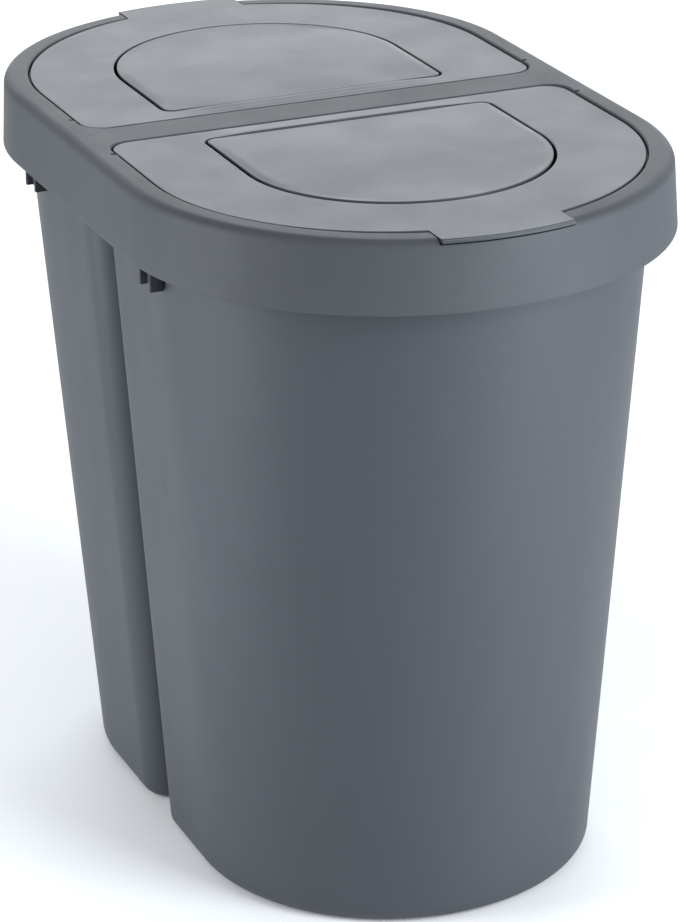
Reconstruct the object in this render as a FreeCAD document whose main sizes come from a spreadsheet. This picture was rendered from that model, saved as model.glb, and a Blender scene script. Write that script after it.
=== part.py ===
"""Double recycling bin: two buckets side by side under one lid frame with two lids.

Frame of the part: origin on the floor at the middle of the bin, +X along the centre bar
between the two lids, +Y towards the back bucket, +Z up.  Millimetres throughout.
"""
import FreeCAD, Part
import math
import os
from types import SimpleNamespace

import Sketcher

os.makedirs("parts", exist_ok=True)
doc = FreeCAD.newDocument("double_recycling_bin")

# Driving dimensions: name, value, what it is
SIZES = [
    ("bucket_height", 480.0, "floor to the top of a bucket rim"),
    ("bucket_base_radius", 134.7, "round end of a bucket at the floor, outside"),
    ("bucket_base_centre", 89.8, "middle of the bin to the centre of that round end"),
    ("bucket_rim_radius", 164.3, "round end of a bucket at its rim, outside"),
    ("bucket_rim_centre", 111.0, "middle of the bin to the centre of that round end"),
    ("bucket_base_flat", 10.0, "middle of the bin to the flat wall at the floor"),
    ("bucket_rim_flat", 8.0, "middle of the bin to the flat wall at the rim"),
    ("bucket_base_corner", 20.0, "upright corner between flat wall and side, at the floor"),
    ("bucket_rim_corner", 23.0, "the same corner at the rim"),
    ("bucket_wall", 2.2, "wall of a bucket"),
    ("bucket_floor", 2.8, "floor of a bucket"),
    ("base_round", 10.0, "rounding between the floor and the walls, outside"),
    ("flange_width", 8.0, "rim flange, measured out from the wall"),
    ("flange_thickness", 2.2, "thickness of the rim flange"),
    ("flange_parting", 2.0, "middle of the bin to the flange on the flat wall"),
    ("frame_rise", 11.0, "bucket rim to the top of the frame"),
    ("frame_shift", 1.0, "centre of a bucket's rim inwards to the centre of the frame's round end"),
    ("frame_wall", 2.4, "wall of the lid frame"),
    ("frame_round", 8.0, "rounding of the frame's top outer edge"),
    ("skirt_clearance", 5.5, "bucket flange to the outside of the skirt at its top"),
    ("skirt_flare", 2.2, "how much wider the skirt is at its lower edge"),
    ("skirt_depth", 48.0, "top of the frame to the skirt's lower edge"),
    ("rim_width", 17.3, "outside of the frame to a lid opening"),
    ("opening_corner", 17.0, "corners of a lid opening beside the centre bar"),
    ("bar_half_width", 16.5, "half of the centre bar"),
    ("ledge_width", 10.5, "ledge that carries a lid, in from the opening"),
    ("ledge_gap", 1.0, "gap between a socket block and the start of the ledge"),
    ("seat_gap", 0.3, "rest clearance between pieces that sit on each other"),
    ("lid_gap", 0.8, "gap between a lid and its opening"),
    ("lid_drop", 2.0, "top of the frame down to the top of a lid plate"),
    ("lid_thickness", 3.0, "plate of a lid"),
    ("lid_seat_gap", 0.4, "rest clearance between a lid and its ledge"),
    ("lid_rib_depth", 5.0, "stiffening rib under a lid"),
    ("lid_rib_gap", 1.5, "gap between that rib and the ledge"),
    ("tab_half_width", 43.5, "half of the finger tab of a lid"),
    ("tab_overhang", 2.0, "how far the tab reaches past the frame's outside at its top"),
    ("hinge_setback", 23.7, "straight edge of a lid to its hinge line"),
    ("lid_pin_radius", 2.0, "hinge pin moulded on a lid"),
    ("lid_pin_length", 5.6, "how far that pin reaches into the frame"),
    ("pin_gap", 0.08, "running clearance of a pin in its socket, on the radius"),
    ("socket_throat", 3.2, "width of the slot through which a pin snaps in"),
    ("socket_block", 10.0, "block around a socket, along and across the bin"),
    ("panel_radius", 99.0, "round end of a push flap"),
    ("panel_shift", 5.5, "centre of the frame's round end outwards to that of a push flap"),
    ("panel_gap", 2.0, "gap around a push flap"),
    ("panel_corner", 7.0, "corners of a push flap beside the hood"),
    ("panel_thickness", 2.6, "plate of a push flap"),
    ("panel_rise", 1.8, "top of a lid plate to the top of a push flap"),
    ("panel_edge_round", 1.2, "rounding of a push flap's top edge"),
    ("hood_foot", 2.2, "straight edge of a lid to the foot of the hood's slope"),
    ("hood_slope", 10.0, "width of that slope"),
    ("hood_crest", 4.5, "width of the hood's level crest"),
    ("hood_rise", 3.5, "top of a lid plate to the crest of the hood"),
    ("hood_half_length", 90.0, "half of the hood, along the bar"),
    ("hood_play", 0.8, "gap between the hood and a push flap's straight edge"),
    ("rod_setback", 5.5, "upright face of the hood to the axis of a hinge rod"),
    ("rod_drop", 1.5, "underside of a lid plate down to that axis"),
    ("rod_radius", 1.5, "steel hinge rod"),
    ("rod_end", 0.5, "how far the rod stands out of an ear"),
    ("eye_radius", 3.2, "outside of the eyes around a hinge rod"),
    ("ear_outer", 95.0, "outer face of a lid's ear that holds the rod"),
    ("ear_width", 4.0, "width of an ear"),
    ("ear_depth", 9.5, "axis of the rod to the back of an ear"),
    ("knuckle_gap", 2.0, "gap between an ear and the knuckle beside it"),
    ("knuckle_width", 5.0, "width of a push flap's knuckle"),
    ("spring_coil_radius", 2.5, "middle line of a spring's coil"),
    ("spring_wire_radius", 0.4, "spring wire"),
    ("spring_pitch", 1.1, "from one turn of the coil to the next"),
    ("spring_turns", 6.0, "whole turns of the coil"),
    ("spring_start", 60.0, "first turn, along the bar"),
    ("spring_fixed_leg", 9.5, "leg that bears on the lid"),
    ("spring_moving_leg", 12.0, "leg that bears on the push flap"),
    ("spring_stop_half", 2.5, "half width of the stops that the legs bear on"),
    ("spring_stop_depth", 3.5, "depth of those stops, across the bar"),
    ("lug_shift", 1.0, "centre of a bucket's rim outwards to the middle of a lug"),
    ("lug_spacing", 18.0, "from one rib of a lug to the other"),
    ("lug_rib", 3.0, "thickness of a lug's ribs"),
    ("lug_back", 2.0, "thickness of the plate that joins the ribs"),
    ("lug_skirt_gap", 7.3, "outer edge of the ribs to the inside of the skirt's lower edge"),
    ("lug_drop", 4.0, "bucket rim down to the top of a lug"),
    ("lug_height", 52.0, "height of a lug"),
    ("lug_gap", 0.25, "clearance between a lug and the wall it hangs on"),
    ("post_radius", 2.5, "posts under the frame that stand on the rims"),
    ("bar_post_reach", 6.0, "middle of the bin to the posts under the centre bar"),
    ("bar_post_spacing", 70.0, "middle of the bar to the outer posts under it"),
    ("side_post_reach", 60.0, "middle of the bin to the posts beside the straight sides"),
]
BASE_ROUND_STEPS = (0, 30, 60, 90)   # stations round the turn from floor to wall, degrees
POST_ANGLES = (12.0, 40.0, 64.0, 116.0, 140.0, 168.0)   # posts around a round end, degrees

BACK = 1      # the half of the bin towards +Y
FRONT = -1    # the half towards -Y, which is the back half turned round


class Length:
    """A length that knows its number and the expression that ties it to the sheet."""

    def __init__(self, number, text):
        self.number = number
        self.text = text

    def __add__(self, other):
        other = as_length(other)
        return Length(self.number + other.number, f"({self.text} + {other.text})")

    def __sub__(self, other):
        other = as_length(other)
        return Length(self.number - other.number, f"({self.text} - {other.text})")

    def __mul__(self, factor):
        return Length(self.number * factor, f"({self.text} * {factor})")

    def __truediv__(self, other):
        other = as_length(other)
        return Length(self.number / other.number, f"({self.text} / {other.text})")

    def times(self, other):
        """Product of two sheet values."""
        return Length(self.number * other.number, f"({self.text} * {other.text})")

    def __neg__(self):
        return Length(-self.number, f"(-{self.text})")


def as_length(value):
    return value if isinstance(value, Length) else Length(value, str(value))


def make_sheet():
    """Write the driving dimensions into the document and hand them back as lengths."""
    sheet = doc.addObject("Spreadsheet::Sheet", "Sizes")
    for row, (name, number, meaning) in enumerate(SIZES, start=1):
        sheet.set(f"A{row}", meaning)
        sheet.set(f"B{row}", str(number))
        sheet.setAlias(f"B{row}", name)
    doc.recompute()
    return SimpleNamespace(**{name: Length(sheet.get(name), f"Sizes.{name}") for name, *_ in SIZES})


size = make_sheet()


# ---------------------------------------------------------------- places worked out once
flange_bottom = size.bucket_height - size.flange_thickness
seat_level = size.bucket_height + size.seat_gap          # underside of what stands on the rims

frame_centre = size.bucket_rim_centre - size.frame_shift
frame_top = size.bucket_height + size.frame_rise
roof_bottom = frame_top - size.frame_wall                # underside of the frame's top plate
skirt_bottom = frame_top - size.skirt_depth
skirt_top_radius = size.bucket_rim_radius + size.flange_width + size.skirt_clearance
skirt_bottom_radius = skirt_top_radius + size.skirt_flare
opening_radius = skirt_top_radius - size.rim_width
ledge_radius = opening_radius - size.ledge_width

lid_radius = opening_radius - size.lid_gap
lid_flat = size.bar_half_width + size.lid_gap
lid_top = frame_top - size.lid_drop
lid_bottom = lid_top - size.lid_thickness
ledge_top = lid_bottom - size.lid_seat_gap
ledge_bottom = ledge_top - size.frame_wall
lid_hinge = lid_flat + size.hinge_setback                # middle of the bin to a lid's hinge line
lid_pin_height = lid_top - size.lid_pin_radius
ledge_start = lid_hinge + size.socket_block / 2 + size.ledge_gap
tab_reach = skirt_top_radius + size.tab_overhang
tab_root = frame_centre + ledge_radius                   # straight inner edge of tab, notch and shelf

hood_start = lid_flat + size.hood_foot
hood_crest_start = hood_start + size.hood_slope
hood_end = hood_crest_start + size.hood_crest
hood_top = lid_top + size.hood_rise
panel_centre = frame_centre + size.panel_shift
panel_top = lid_top + size.panel_rise
panel_bottom = panel_top - size.panel_thickness
panel_flat = hood_end + size.hood_play

rod_reach = hood_end + size.rod_setback                  # middle of the bin to a rod's axis
rod_height = lid_bottom - size.rod_drop
knuckle_outer = size.ear_outer - size.ear_width - size.knuckle_gap
wire_height = rod_height - size.spring_coil_radius       # both legs leave the coil low
spring_end = size.spring_start + size.spring_pitch.times(size.spring_turns)
stop_bottom = wire_height + size.spring_wire_radius + size.seat_gap

lug_centre = size.bucket_rim_centre + size.lug_shift
lug_reach = skirt_bottom_radius - size.frame_wall - size.lug_skirt_gap
lug_top = size.bucket_height - size.lug_drop
lug_bottom = lug_top - size.lug_height


# ---------------------------------------------------------------- sketching
def origin_plane(body, role):
    return next(item for item in body.Origin.OriginFeatures if item.Role == role)


def make_body(label, side=BACK):
    """A body drawn on the +Y half; the front copy is turned round the middle of the bin."""
    body = doc.addObject("PartDesign::Body", label)
    body.Label = label
    if side == FRONT:
        body.Placement = FreeCAD.Placement(
            FreeCAD.Vector(), FreeCAD.Rotation(FreeCAD.Vector(0, 0, 1), 180))
    return body


def make_sketch(body, name, role="XY_Plane", offset=None):
    """A sketch on one of the body's own planes, moved along the plane's normal."""
    sketch = body.newObject("Sketcher::SketchObject", name)
    sketch.AttachmentSupport = (origin_plane(body, role), "")
    sketch.MapMode = "FlatFace"
    if offset is not None:
        sketch.AttachmentOffset = FreeCAD.Placement(
            FreeCAD.Vector(0, 0, offset.number), FreeCAD.Rotation())
        sketch.setExpression("AttachmentOffset.Base.z", offset.text)
    return sketch


def point(x, y):
    return FreeCAD.Vector(as_length(x).number, as_length(y).number, 0)


def line(sketch, start, end):
    return sketch.addGeometry(Part.LineSegment(start, end))


def arc(sketch, centre, radius, first_degrees, last_degrees):
    circle = Part.Circle(centre, FreeCAD.Vector(0, 0, 1), radius.number)
    return sketch.addGeometry(
        Part.ArcOfCircle(circle, math.radians(first_degrees), math.radians(last_degrees)))


def measure(sketch, kind, where, length):
    """A dimension of the sketch, tied to the sheet."""
    index = sketch.addConstraint(Sketcher.Constraint(kind, *where, length.number))
    sketch.setExpression(f"Constraints[{index}]", length.text)


def fix_point(sketch, item, end, x, y):
    """Ties one end of an edge to its place in the sketch."""
    for kind, axis, value in (("DistanceX", -2, as_length(x)), ("DistanceY", -1, as_length(y))):
        if value.number == 0.0:
            sketch.addConstraint(Sketcher.Constraint("PointOnObject", item, end, axis))
        else:
            measure(sketch, kind, (-1, 1, item, end), value)


def join(sketch, items, tangent=()):
    """Joins edges end to start in a closed ring; joints listed in tangent run on smoothly."""
    count = len(items)
    for place in range(count):
        kind = "Tangent" if place in tangent else "Coincident"
        here, following = items[place], items[(place + 1) % count]
        sketch.addConstraint(Sketcher.Constraint(kind, here, 2, following, 1))


def end_outline(sketch, radius, centre, flat, corner, side=BACK):
    """Outline of one half: a flat side, two rounded corners, straight sides, a round end."""
    middle = centre * side
    edge = flat * side
    turn = edge + corner * side
    if side == BACK:
        big = arc(sketch, point(0, middle), radius, 0, 180)
        left = line(sketch, point(-radius, middle), point(-radius, turn))
        small_left = arc(sketch, point(corner - radius, turn), corner, 180, 270)
        base = line(sketch, point(corner - radius, edge), point(radius - corner, edge))
        small_right = arc(sketch, point(radius - corner, turn), corner, 270, 360)
        right = line(sketch, point(radius, turn), point(radius, middle))
    else:
        big = arc(sketch, point(0, middle), radius, 180, 360)
        left = line(sketch, point(radius, middle), point(radius, turn))
        small_left = arc(sketch, point(radius - corner, turn), corner, 0, 90)
        base = line(sketch, point(radius - corner, edge), point(corner - radius, edge))
        small_right = arc(sketch, point(corner - radius, turn), corner, 90, 180)
        right = line(sketch, point(-radius, turn), point(-radius, middle))
    join(sketch, (big, left, small_left, base, small_right, right), tangent=range(6))
    sketch.addConstraint(Sketcher.Constraint("Vertical", left))
    sketch.addConstraint(Sketcher.Constraint("Vertical", right))
    sketch.addConstraint(Sketcher.Constraint("Horizontal", base))
    sketch.addConstraint(Sketcher.Constraint("PointOnObject", big, 3, -2))
    sketch.addConstraint(Sketcher.Constraint("Equal", small_left, small_right))
    measure(sketch, "Radius", (big,), radius)
    measure(sketch, "Radius", (small_left,), corner)
    measure(sketch, "DistanceY", (-1, 1, big, 3), middle)
    measure(sketch, "DistanceY", (-1, 1, base, 1), edge)


def skirt_section(sketch, both_sides):
    """Section through the frame: drafted skirt, rounded shoulder and flat top plate.

    The half section runs from the middle plane to the skirt; the whole one has a skirt
    on either side.
    """
    reach = skirt_bottom_radius
    wall = size.frame_wall
    shoulder_x = skirt_top_radius - size.frame_round
    shoulder_z = frame_top - size.frame_round
    hands = (1, -1) if both_sides else (1,)
    ends = []
    for hand in hands:
        degrees = (0, 90) if hand > 0 else (90, 180)
        outer = arc(sketch, point(shoulder_x * hand, shoulder_z), size.frame_round, *degrees)
        inner = arc(sketch, point(shoulder_x * hand, shoulder_z), size.frame_round - wall, *degrees)
        low, high = (1, 2) if hand > 0 else (2, 1)
        skirt_x = skirt_top_radius * hand
        outer_skirt = line(sketch, point(skirt_x, shoulder_z), point(reach * hand, skirt_bottom))
        inner_skirt = line(sketch, point(skirt_x - wall * hand, shoulder_z),
                           point((reach - wall) * hand, skirt_bottom))
        hem = line(sketch, point(reach * hand, skirt_bottom),
                   point((reach - wall) * hand, skirt_bottom))
        for curve, radius in ((outer, size.frame_round), (inner, size.frame_round - wall)):
            measure(sketch, "Radius", (curve,), radius)
            fix_point(sketch, curve, 3, shoulder_x * hand, shoulder_z)
        sketch.addConstraint(Sketcher.Constraint("Tangent", outer, low, outer_skirt, 1))
        sketch.addConstraint(Sketcher.Constraint("Tangent", inner, low, inner_skirt, 1))
        sketch.addConstraint(Sketcher.Constraint("Coincident", outer_skirt, 2, hem, 1))
        sketch.addConstraint(Sketcher.Constraint("Coincident", inner_skirt, 2, hem, 2))
        fix_point(sketch, hem, 1, reach * hand, skirt_bottom)
        fix_point(sketch, hem, 2, (reach - wall) * hand, skirt_bottom)
        ends.append((outer, inner, high))
    (outer, inner, high), *others = ends
    far_x = -shoulder_x if others else 0
    roof = line(sketch, point(shoulder_x, frame_top), point(far_x, frame_top))
    ceiling = line(sketch, point(shoulder_x, roof_bottom), point(far_x, roof_bottom))
    sketch.addConstraint(Sketcher.Constraint("Tangent", outer, high, roof, 1))
    sketch.addConstraint(Sketcher.Constraint("Tangent", inner, high, ceiling, 1))
    if others:
        far_outer, far_inner, far_high = others[0]
        sketch.addConstraint(Sketcher.Constraint("Coincident", far_outer, far_high, roof, 2))
        sketch.addConstraint(Sketcher.Constraint("Vertical", far_outer, far_high, far_outer, 3))
        sketch.addConstraint(Sketcher.Constraint("Coincident", far_inner, far_high, ceiling, 2))
        sketch.addConstraint(Sketcher.Constraint("Vertical", far_inner, far_high, far_inner, 3))
    else:
        spine = line(sketch, point(0, frame_top), point(0, roof_bottom))
        sketch.addConstraint(Sketcher.Constraint("Coincident", roof, 2, spine, 1))
        sketch.addConstraint(Sketcher.Constraint("Coincident", ceiling, 2, spine, 2))
        sketch.addConstraint(Sketcher.Constraint("PointOnObject", spine, 1, -2))
        sketch.addConstraint(Sketcher.Constraint("PointOnObject", spine, 2, -2))
        sketch.addConstraint(Sketcher.Constraint("Horizontal", roof))
        sketch.addConstraint(Sketcher.Constraint("Horizontal", ceiling))


def horseshoe(sketch, outer, inner, centre, start, side=BACK):
    """A band along the straight sides and round end, open towards the middle of the bin."""
    middle = centre * side
    foot = start * side
    first, last = (0, 180) if side == BACK else (180, 360)
    big = arc(sketch, point(0, middle), outer, first, last)
    small = arc(sketch, point(0, middle), inner, first, last)
    far_outer = line(sketch, point(-outer * side, middle), point(-outer * side, foot))
    far_foot = line(sketch, point(-outer * side, foot), point(-inner * side, foot))
    far_inner = line(sketch, point(-inner * side, foot), point(-inner * side, middle))
    near_inner = line(sketch, point(inner * side, middle), point(inner * side, foot))
    near_foot = line(sketch, point(inner * side, foot), point(outer * side, foot))
    near_outer = line(sketch, point(outer * side, foot), point(outer * side, middle))
    for one, one_end, two, two_end, kind in (
            (big, 2, far_outer, 1, "Tangent"), (far_outer, 2, far_foot, 1, "Coincident"),
            (far_foot, 2, far_inner, 1, "Coincident"), (far_inner, 2, small, 2, "Tangent"),
            (small, 1, near_inner, 1, "Tangent"), (near_inner, 2, near_foot, 1, "Coincident"),
            (near_foot, 2, near_outer, 1, "Coincident"), (near_outer, 2, big, 1, "Tangent")):
        sketch.addConstraint(Sketcher.Constraint(kind, one, one_end, two, two_end))
    for upright in (far_outer, far_inner, near_inner, near_outer):
        sketch.addConstraint(Sketcher.Constraint("Vertical", upright))
    for foot_line in (far_foot, near_foot):
        sketch.addConstraint(Sketcher.Constraint("Horizontal", foot_line))
        measure(sketch, "DistanceY", (-1, 1, foot_line, 1), foot)
    for curve, radius in ((big, outer), (small, inner)):
        sketch.addConstraint(Sketcher.Constraint("PointOnObject", curve, 3, -2))
        measure(sketch, "Radius", (curve,), radius)
        measure(sketch, "DistanceY", (-1, 1, curve, 3), middle)


def end_segment(sketch, half_width, inner_edge, outer_radius, centre, side=BACK):
    """The stretch of a round end between two straight sides and a straight inner edge."""
    lean = math.degrees(math.acos(half_width.number / outer_radius.number))
    middle = centre * side
    edge = inner_edge * side
    shoulder = middle + (outer_radius * math.sin(math.radians(lean))) * side
    first, last = (lean, 180 - lean) if side == BACK else (180 + lean, 360 - lean)
    outer = arc(sketch, point(0, middle), outer_radius, first, last)
    far = line(sketch, point(-half_width * side, shoulder), point(-half_width * side, edge))
    inner = line(sketch, point(-half_width * side, edge), point(half_width * side, edge))
    near = line(sketch, point(half_width * side, edge), point(half_width * side, shoulder))
    join(sketch, (outer, far, inner, near))
    sketch.addConstraint(Sketcher.Constraint("Vertical", far))
    sketch.addConstraint(Sketcher.Constraint("Vertical", near))
    sketch.addConstraint(Sketcher.Constraint("PointOnObject", outer, 3, -2))
    measure(sketch, "Radius", (outer,), outer_radius)
    measure(sketch, "DistanceY", (-1, 1, outer, 3), middle)
    fix_point(sketch, inner, 1, -half_width * side, edge)
    fix_point(sketch, inner, 2, half_width * side, edge)


def polygon(sketch, corners):
    """A closed outline with straight edges, every corner tied to its place."""
    count = len(corners)
    items = [line(sketch, point(*corners[place]), point(*corners[(place + 1) % count]))
             for place in range(count)]
    join(sketch, items)
    for item, corner in zip(items, corners):
        fix_point(sketch, item, 1, *corner)


def rectangle(sketch, low_x, high_x, low_y, high_y):
    polygon(sketch, ((low_x, low_y), (high_x, low_y), (high_x, high_y), (low_x, high_y)))


def circle(sketch, x, y, radius):
    item = sketch.addGeometry(Part.Circle(point(x, y), FreeCAD.Vector(0, 0, 1), radius.number))
    measure(sketch, "Radius", (item,), radius)
    fix_point(sketch, item, 3, x, y)


def standing_eye(sketch, back, axis_y, axis_z, radius):
    """Side view of an ear: a block behind the rod's axis and a half round in front of it."""
    front = arc(sketch, point(axis_y, axis_z), radius, -90, 90)
    roof = line(sketch, point(axis_y, axis_z + radius), point(back, axis_z + radius))
    rear = line(sketch, point(back, axis_z + radius), point(back, axis_z - radius))
    sole = line(sketch, point(back, axis_z - radius), point(axis_y, axis_z - radius))
    join(sketch, (front, roof, rear, sole), tangent=(0, 3))
    fix_point(sketch, front, 3, axis_y, axis_z)
    fix_point(sketch, rear, 1, back, axis_z + radius)
    fix_point(sketch, rear, 2, back, axis_z - radius)
    sketch.addConstraint(Sketcher.Constraint("Horizontal", roof))


def hanging_eye(sketch, top, axis_y, axis_z, radius):
    """Side view of a knuckle: a block above the rod's axis and a half round below it."""
    below = arc(sketch, point(axis_y, axis_z), radius, 180, 360)
    front = line(sketch, point(axis_y + radius, axis_z), point(axis_y + radius, top))
    roof = line(sketch, point(axis_y + radius, top), point(axis_y - radius, top))
    rear = line(sketch, point(axis_y - radius, top), point(axis_y - radius, axis_z))
    join(sketch, (below, front, roof, rear), tangent=(0, 3))
    fix_point(sketch, below, 3, axis_y, axis_z)
    fix_point(sketch, roof, 1, axis_y + radius, top)
    fix_point(sketch, roof, 2, axis_y - radius, top)
    sketch.addConstraint(Sketcher.Constraint("Vertical", front))


# ---------------------------------------------------------------- features
def volume(body):
    return 0.0 if body.Shape.isNull() else body.Shape.Volume


def grows(body, feature):
    """Recomputes and makes sure that the feature added material."""
    before = volume(body)
    doc.recompute()
    if not feature.Shape.Volume > before:
        raise RuntimeError(f"{feature.Name} adds nothing")
    return feature


def shrinks(body, feature):
    """Recomputes and makes sure that the feature removed material."""
    before = volume(body)
    doc.recompute()
    if not feature.Shape.Volume < before:
        raise RuntimeError(f"{feature.Name} cuts nothing")
    return feature


def extrude(body, kind, sketch, length, reverse=False, both_ways=False):
    feature = body.newObject(f"PartDesign::{kind}", f"{sketch.Name}_{kind.lower()}")
    feature.Profile = sketch
    feature.Length = length.number
    feature.setExpression("Length", length.text)
    feature.Reversed = reverse
    feature.Midplane = both_ways
    return feature


def pad(body, sketch, length, **options):
    return grows(body, extrude(body, "Pad", sketch, length, **options))


def pocket(body, sketch, length, **options):
    return shrinks(body, extrude(body, "Pocket", sketch, length, **options))


def round_edges(body, base, radius, wanted):
    """Rounds those edges of the last feature that the test picks out."""
    names = [f"Edge{number}" for number, edge in enumerate(base.Shape.Edges, start=1) if wanted(edge)]
    fillet = body.newObject("PartDesign::Fillet", f"{base.Name}_round")
    fillet.Base = (base, names)
    fillet.Radius = radius.number
    fillet.setExpression("Radius", radius.text)
    doc.recompute()
    return fillet


def mirror_across_bar(body, features):
    """Repeats features on the other side of the bin's long middle plane."""
    twin = body.newObject("PartDesign::Mirrored", f"{features[0].Name}_pair")
    twin.Originals = features
    twin.MirrorPlane = (origin_plane(body, "YZ_Plane"), [""])
    body.Tip = twin
    return grows(body, twin)


def level(edge, height):
    """True for an edge that lies in one level plane at the given height."""
    box = edge.BoundBox
    return abs(box.ZMin - height) < 0.01 and abs(box.ZMax - height) < 0.01


# ---------------------------------------------------------------- buckets
def between(at_floor, at_rim, height):
    """A size of the bucket at a height, on the straight line from the floor to the rim."""
    return at_floor + (at_rim - at_floor).times(height) / size.bucket_height


def wall_at(height):
    """Outside of a bucket's straight side at a height."""
    return between(size.bucket_base_radius, size.bucket_rim_radius, height)


def wall_outline(body, name, height, inset):
    """Outline of a bucket's outer wall at a height, drawn smaller by the inset all round."""
    sketch = make_sketch(body, name, offset=height)
    end_outline(sketch, wall_at(height) - inset,
                between(size.bucket_base_centre, size.bucket_rim_centre, height),
                between(size.bucket_base_flat, size.bucket_rim_flat, height) + inset,
                between(size.bucket_base_corner, size.bucket_rim_corner, height) - inset)
    return sketch


def tub(body, kind, name, bottom, inset):
    """Loft of a tub: outlines round the turn from its bottom into the wall, then the rim."""
    turn = size.base_round - inset
    outlines = []
    for degrees in BASE_ROUND_STEPS:
        angle = math.radians(degrees)
        height = bottom + turn * (1 - math.cos(angle))
        outlines.append(wall_outline(body, f"{name}_at_{degrees}", height,
                                     inset + turn * (1 - math.sin(angle))))
    outlines.append(wall_outline(body, f"{name}_rim", size.bucket_height, inset))
    feature = body.newObject(f"PartDesign::{kind}", name)
    feature.Profile = outlines[0]
    feature.Sections = outlines[1:]
    feature.Ruled = True
    return feature


def make_bucket(label, side):
    body = make_body(label, side)
    grows(body, tub(body, "AdditiveLoft", f"{label}_outside", as_length(0), as_length(0)))
    flange = make_sketch(body, f"{label}_flange_outline", offset=flange_bottom)
    end_outline(flange, size.bucket_rim_radius + size.flange_width, size.bucket_rim_centre,
                size.flange_parting, size.bucket_rim_corner + size.flange_width)
    pad(body, flange, size.flange_thickness)
    shrinks(body, tub(body, "SubtractiveLoft", f"{label}_inside",
                      size.bucket_floor, size.bucket_wall))
    return body


def make_lug(label, side, hand):
    """A pair of upright ribs on a bucket's side, joined by a plate that follows the wall."""
    body = make_body(label, side)
    gap = size.lug_gap
    foot_wall = (wall_at(lug_bottom) + gap) * hand
    head_wall = (wall_at(lug_top) + gap) * hand
    outer = lug_reach * hand
    back = size.lug_back * hand
    half_span = (size.lug_spacing + size.lug_rib) / 2
    plate = make_sketch(body, f"{label}_plate", "XZ_Plane", -(lug_centre + half_span))
    polygon(plate, ((foot_wall, lug_bottom), (foot_wall + back, lug_bottom),
                    (head_wall + back, lug_top), (head_wall, lug_top)))
    pad(body, plate, half_span * 2)
    for rib_side in (1, -1):
        far_face = lug_centre + size.lug_spacing * (rib_side / 2) + size.lug_rib / 2
        rib = make_sketch(body, f"{label}_rib_{'far' if rib_side > 0 else 'near'}",
                          "XZ_Plane", -far_face)
        polygon(rib, ((foot_wall, lug_bottom), (outer, lug_bottom),
                      (outer, lug_top), (head_wall, lug_top)))
        pad(body, rib, size.lug_rib)
    return body


# ---------------------------------------------------------------- lid frame
def make_lid_frame(label):
    body = make_body(label)
    middle = make_sketch(body, "middle_section", "XZ_Plane", frame_centre)
    skirt_section(middle, both_sides=True)
    pad(body, middle, frame_centre * 2, reverse=True)
    for side, name in ((BACK, "back"), (FRONT, "front")):
        end = make_sketch(body, f"{name}_end_section", "XZ_Plane", -frame_centre * side)
        skirt_section(end, both_sides=False)
        turned = body.newObject("PartDesign::Revolution", f"{name}_end")
        turned.Profile = end
        turned.ReferenceAxis = (end, ["V_Axis"])
        turned.Angle = 180
        turned.Reversed = side == FRONT
        grows(body, turned)

    add_opening_walls(body)
    add_ledges(body)
    add_socket_blocks(body)
    add_posts(body)
    cut_tab_notches(body)
    cut_sockets(body)
    return body


def add_opening_walls(body):
    """A wall around each lid opening, from the top plate down to the ledge, then the opening."""
    wall = size.frame_wall
    for side, name in ((BACK, "back"), (FRONT, "front")):
        outline = make_sketch(body, f"opening_wall_{name}", offset=ledge_bottom)
        end_outline(outline, opening_radius + wall, frame_centre,
                    size.bar_half_width - wall, size.opening_corner + wall, side)
        pad(body, outline, roof_bottom - ledge_bottom)
        opening = make_sketch(body, f"opening_{name}", offset=frame_top)
        end_outline(opening, opening_radius, frame_centre,
                    size.bar_half_width, size.opening_corner, side)
        pocket(body, opening, frame_top - ledge_bottom)


def add_ledges(body):
    """Ledges that carry the lids, and the shelves under the finger tabs."""
    overlap = size.frame_wall / 2
    shelf_half = size.tab_half_width + size.lid_gap + size.frame_wall
    for side, name in ((BACK, "back"), (FRONT, "front")):
        ledge = make_sketch(body, f"ledge_{name}", offset=ledge_bottom)
        horseshoe(ledge, opening_radius + overlap, ledge_radius,
                  frame_centre, ledge_start, side)
        pad(body, ledge, size.frame_wall)
        shelf = make_sketch(body, f"tab_shelf_{name}", offset=ledge_bottom)
        end_segment(shelf, shelf_half, tab_root, skirt_top_radius - overlap, frame_centre, side)
        pad(body, shelf, size.frame_wall)


def add_socket_blocks(body):
    """Four blocks beside the openings that hold the sockets of the lids' hinge pins."""
    inner = opening_radius + size.frame_wall / 2
    outer = opening_radius + size.socket_block
    half = size.socket_block / 2
    blocks = make_sketch(body, "socket_blocks", offset=seat_level)
    for hand in (1, -1):
        for side in (BACK, FRONT):
            near = (lid_hinge - half) * side
            far = (lid_hinge + half) * side
            rectangle(blocks, inner * hand, outer * hand, near, far)
    pad(body, blocks, roof_bottom - seat_level)


def add_posts(body):
    """Posts under the top plate that stand on the bucket rims."""
    posts = make_sketch(body, "rim_posts", offset=seat_level)
    ring = size.bucket_rim_radius + size.flange_width / 2
    for side in (BACK, FRONT):
        for degrees in POST_ANGLES:
            angle = math.radians(degrees)
            circle(posts, ring * math.cos(angle),
                   (frame_centre + ring * math.sin(angle)) * side, size.post_radius)
        for hand in (1, -1):
            circle(posts, ring * hand, size.side_post_reach * side, size.post_radius)
        for step in (-1, 0, 1):
            circle(posts, size.bar_post_spacing * step, size.bar_post_reach * side,
                   size.post_radius)
    pad(body, posts, roof_bottom - seat_level)


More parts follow.
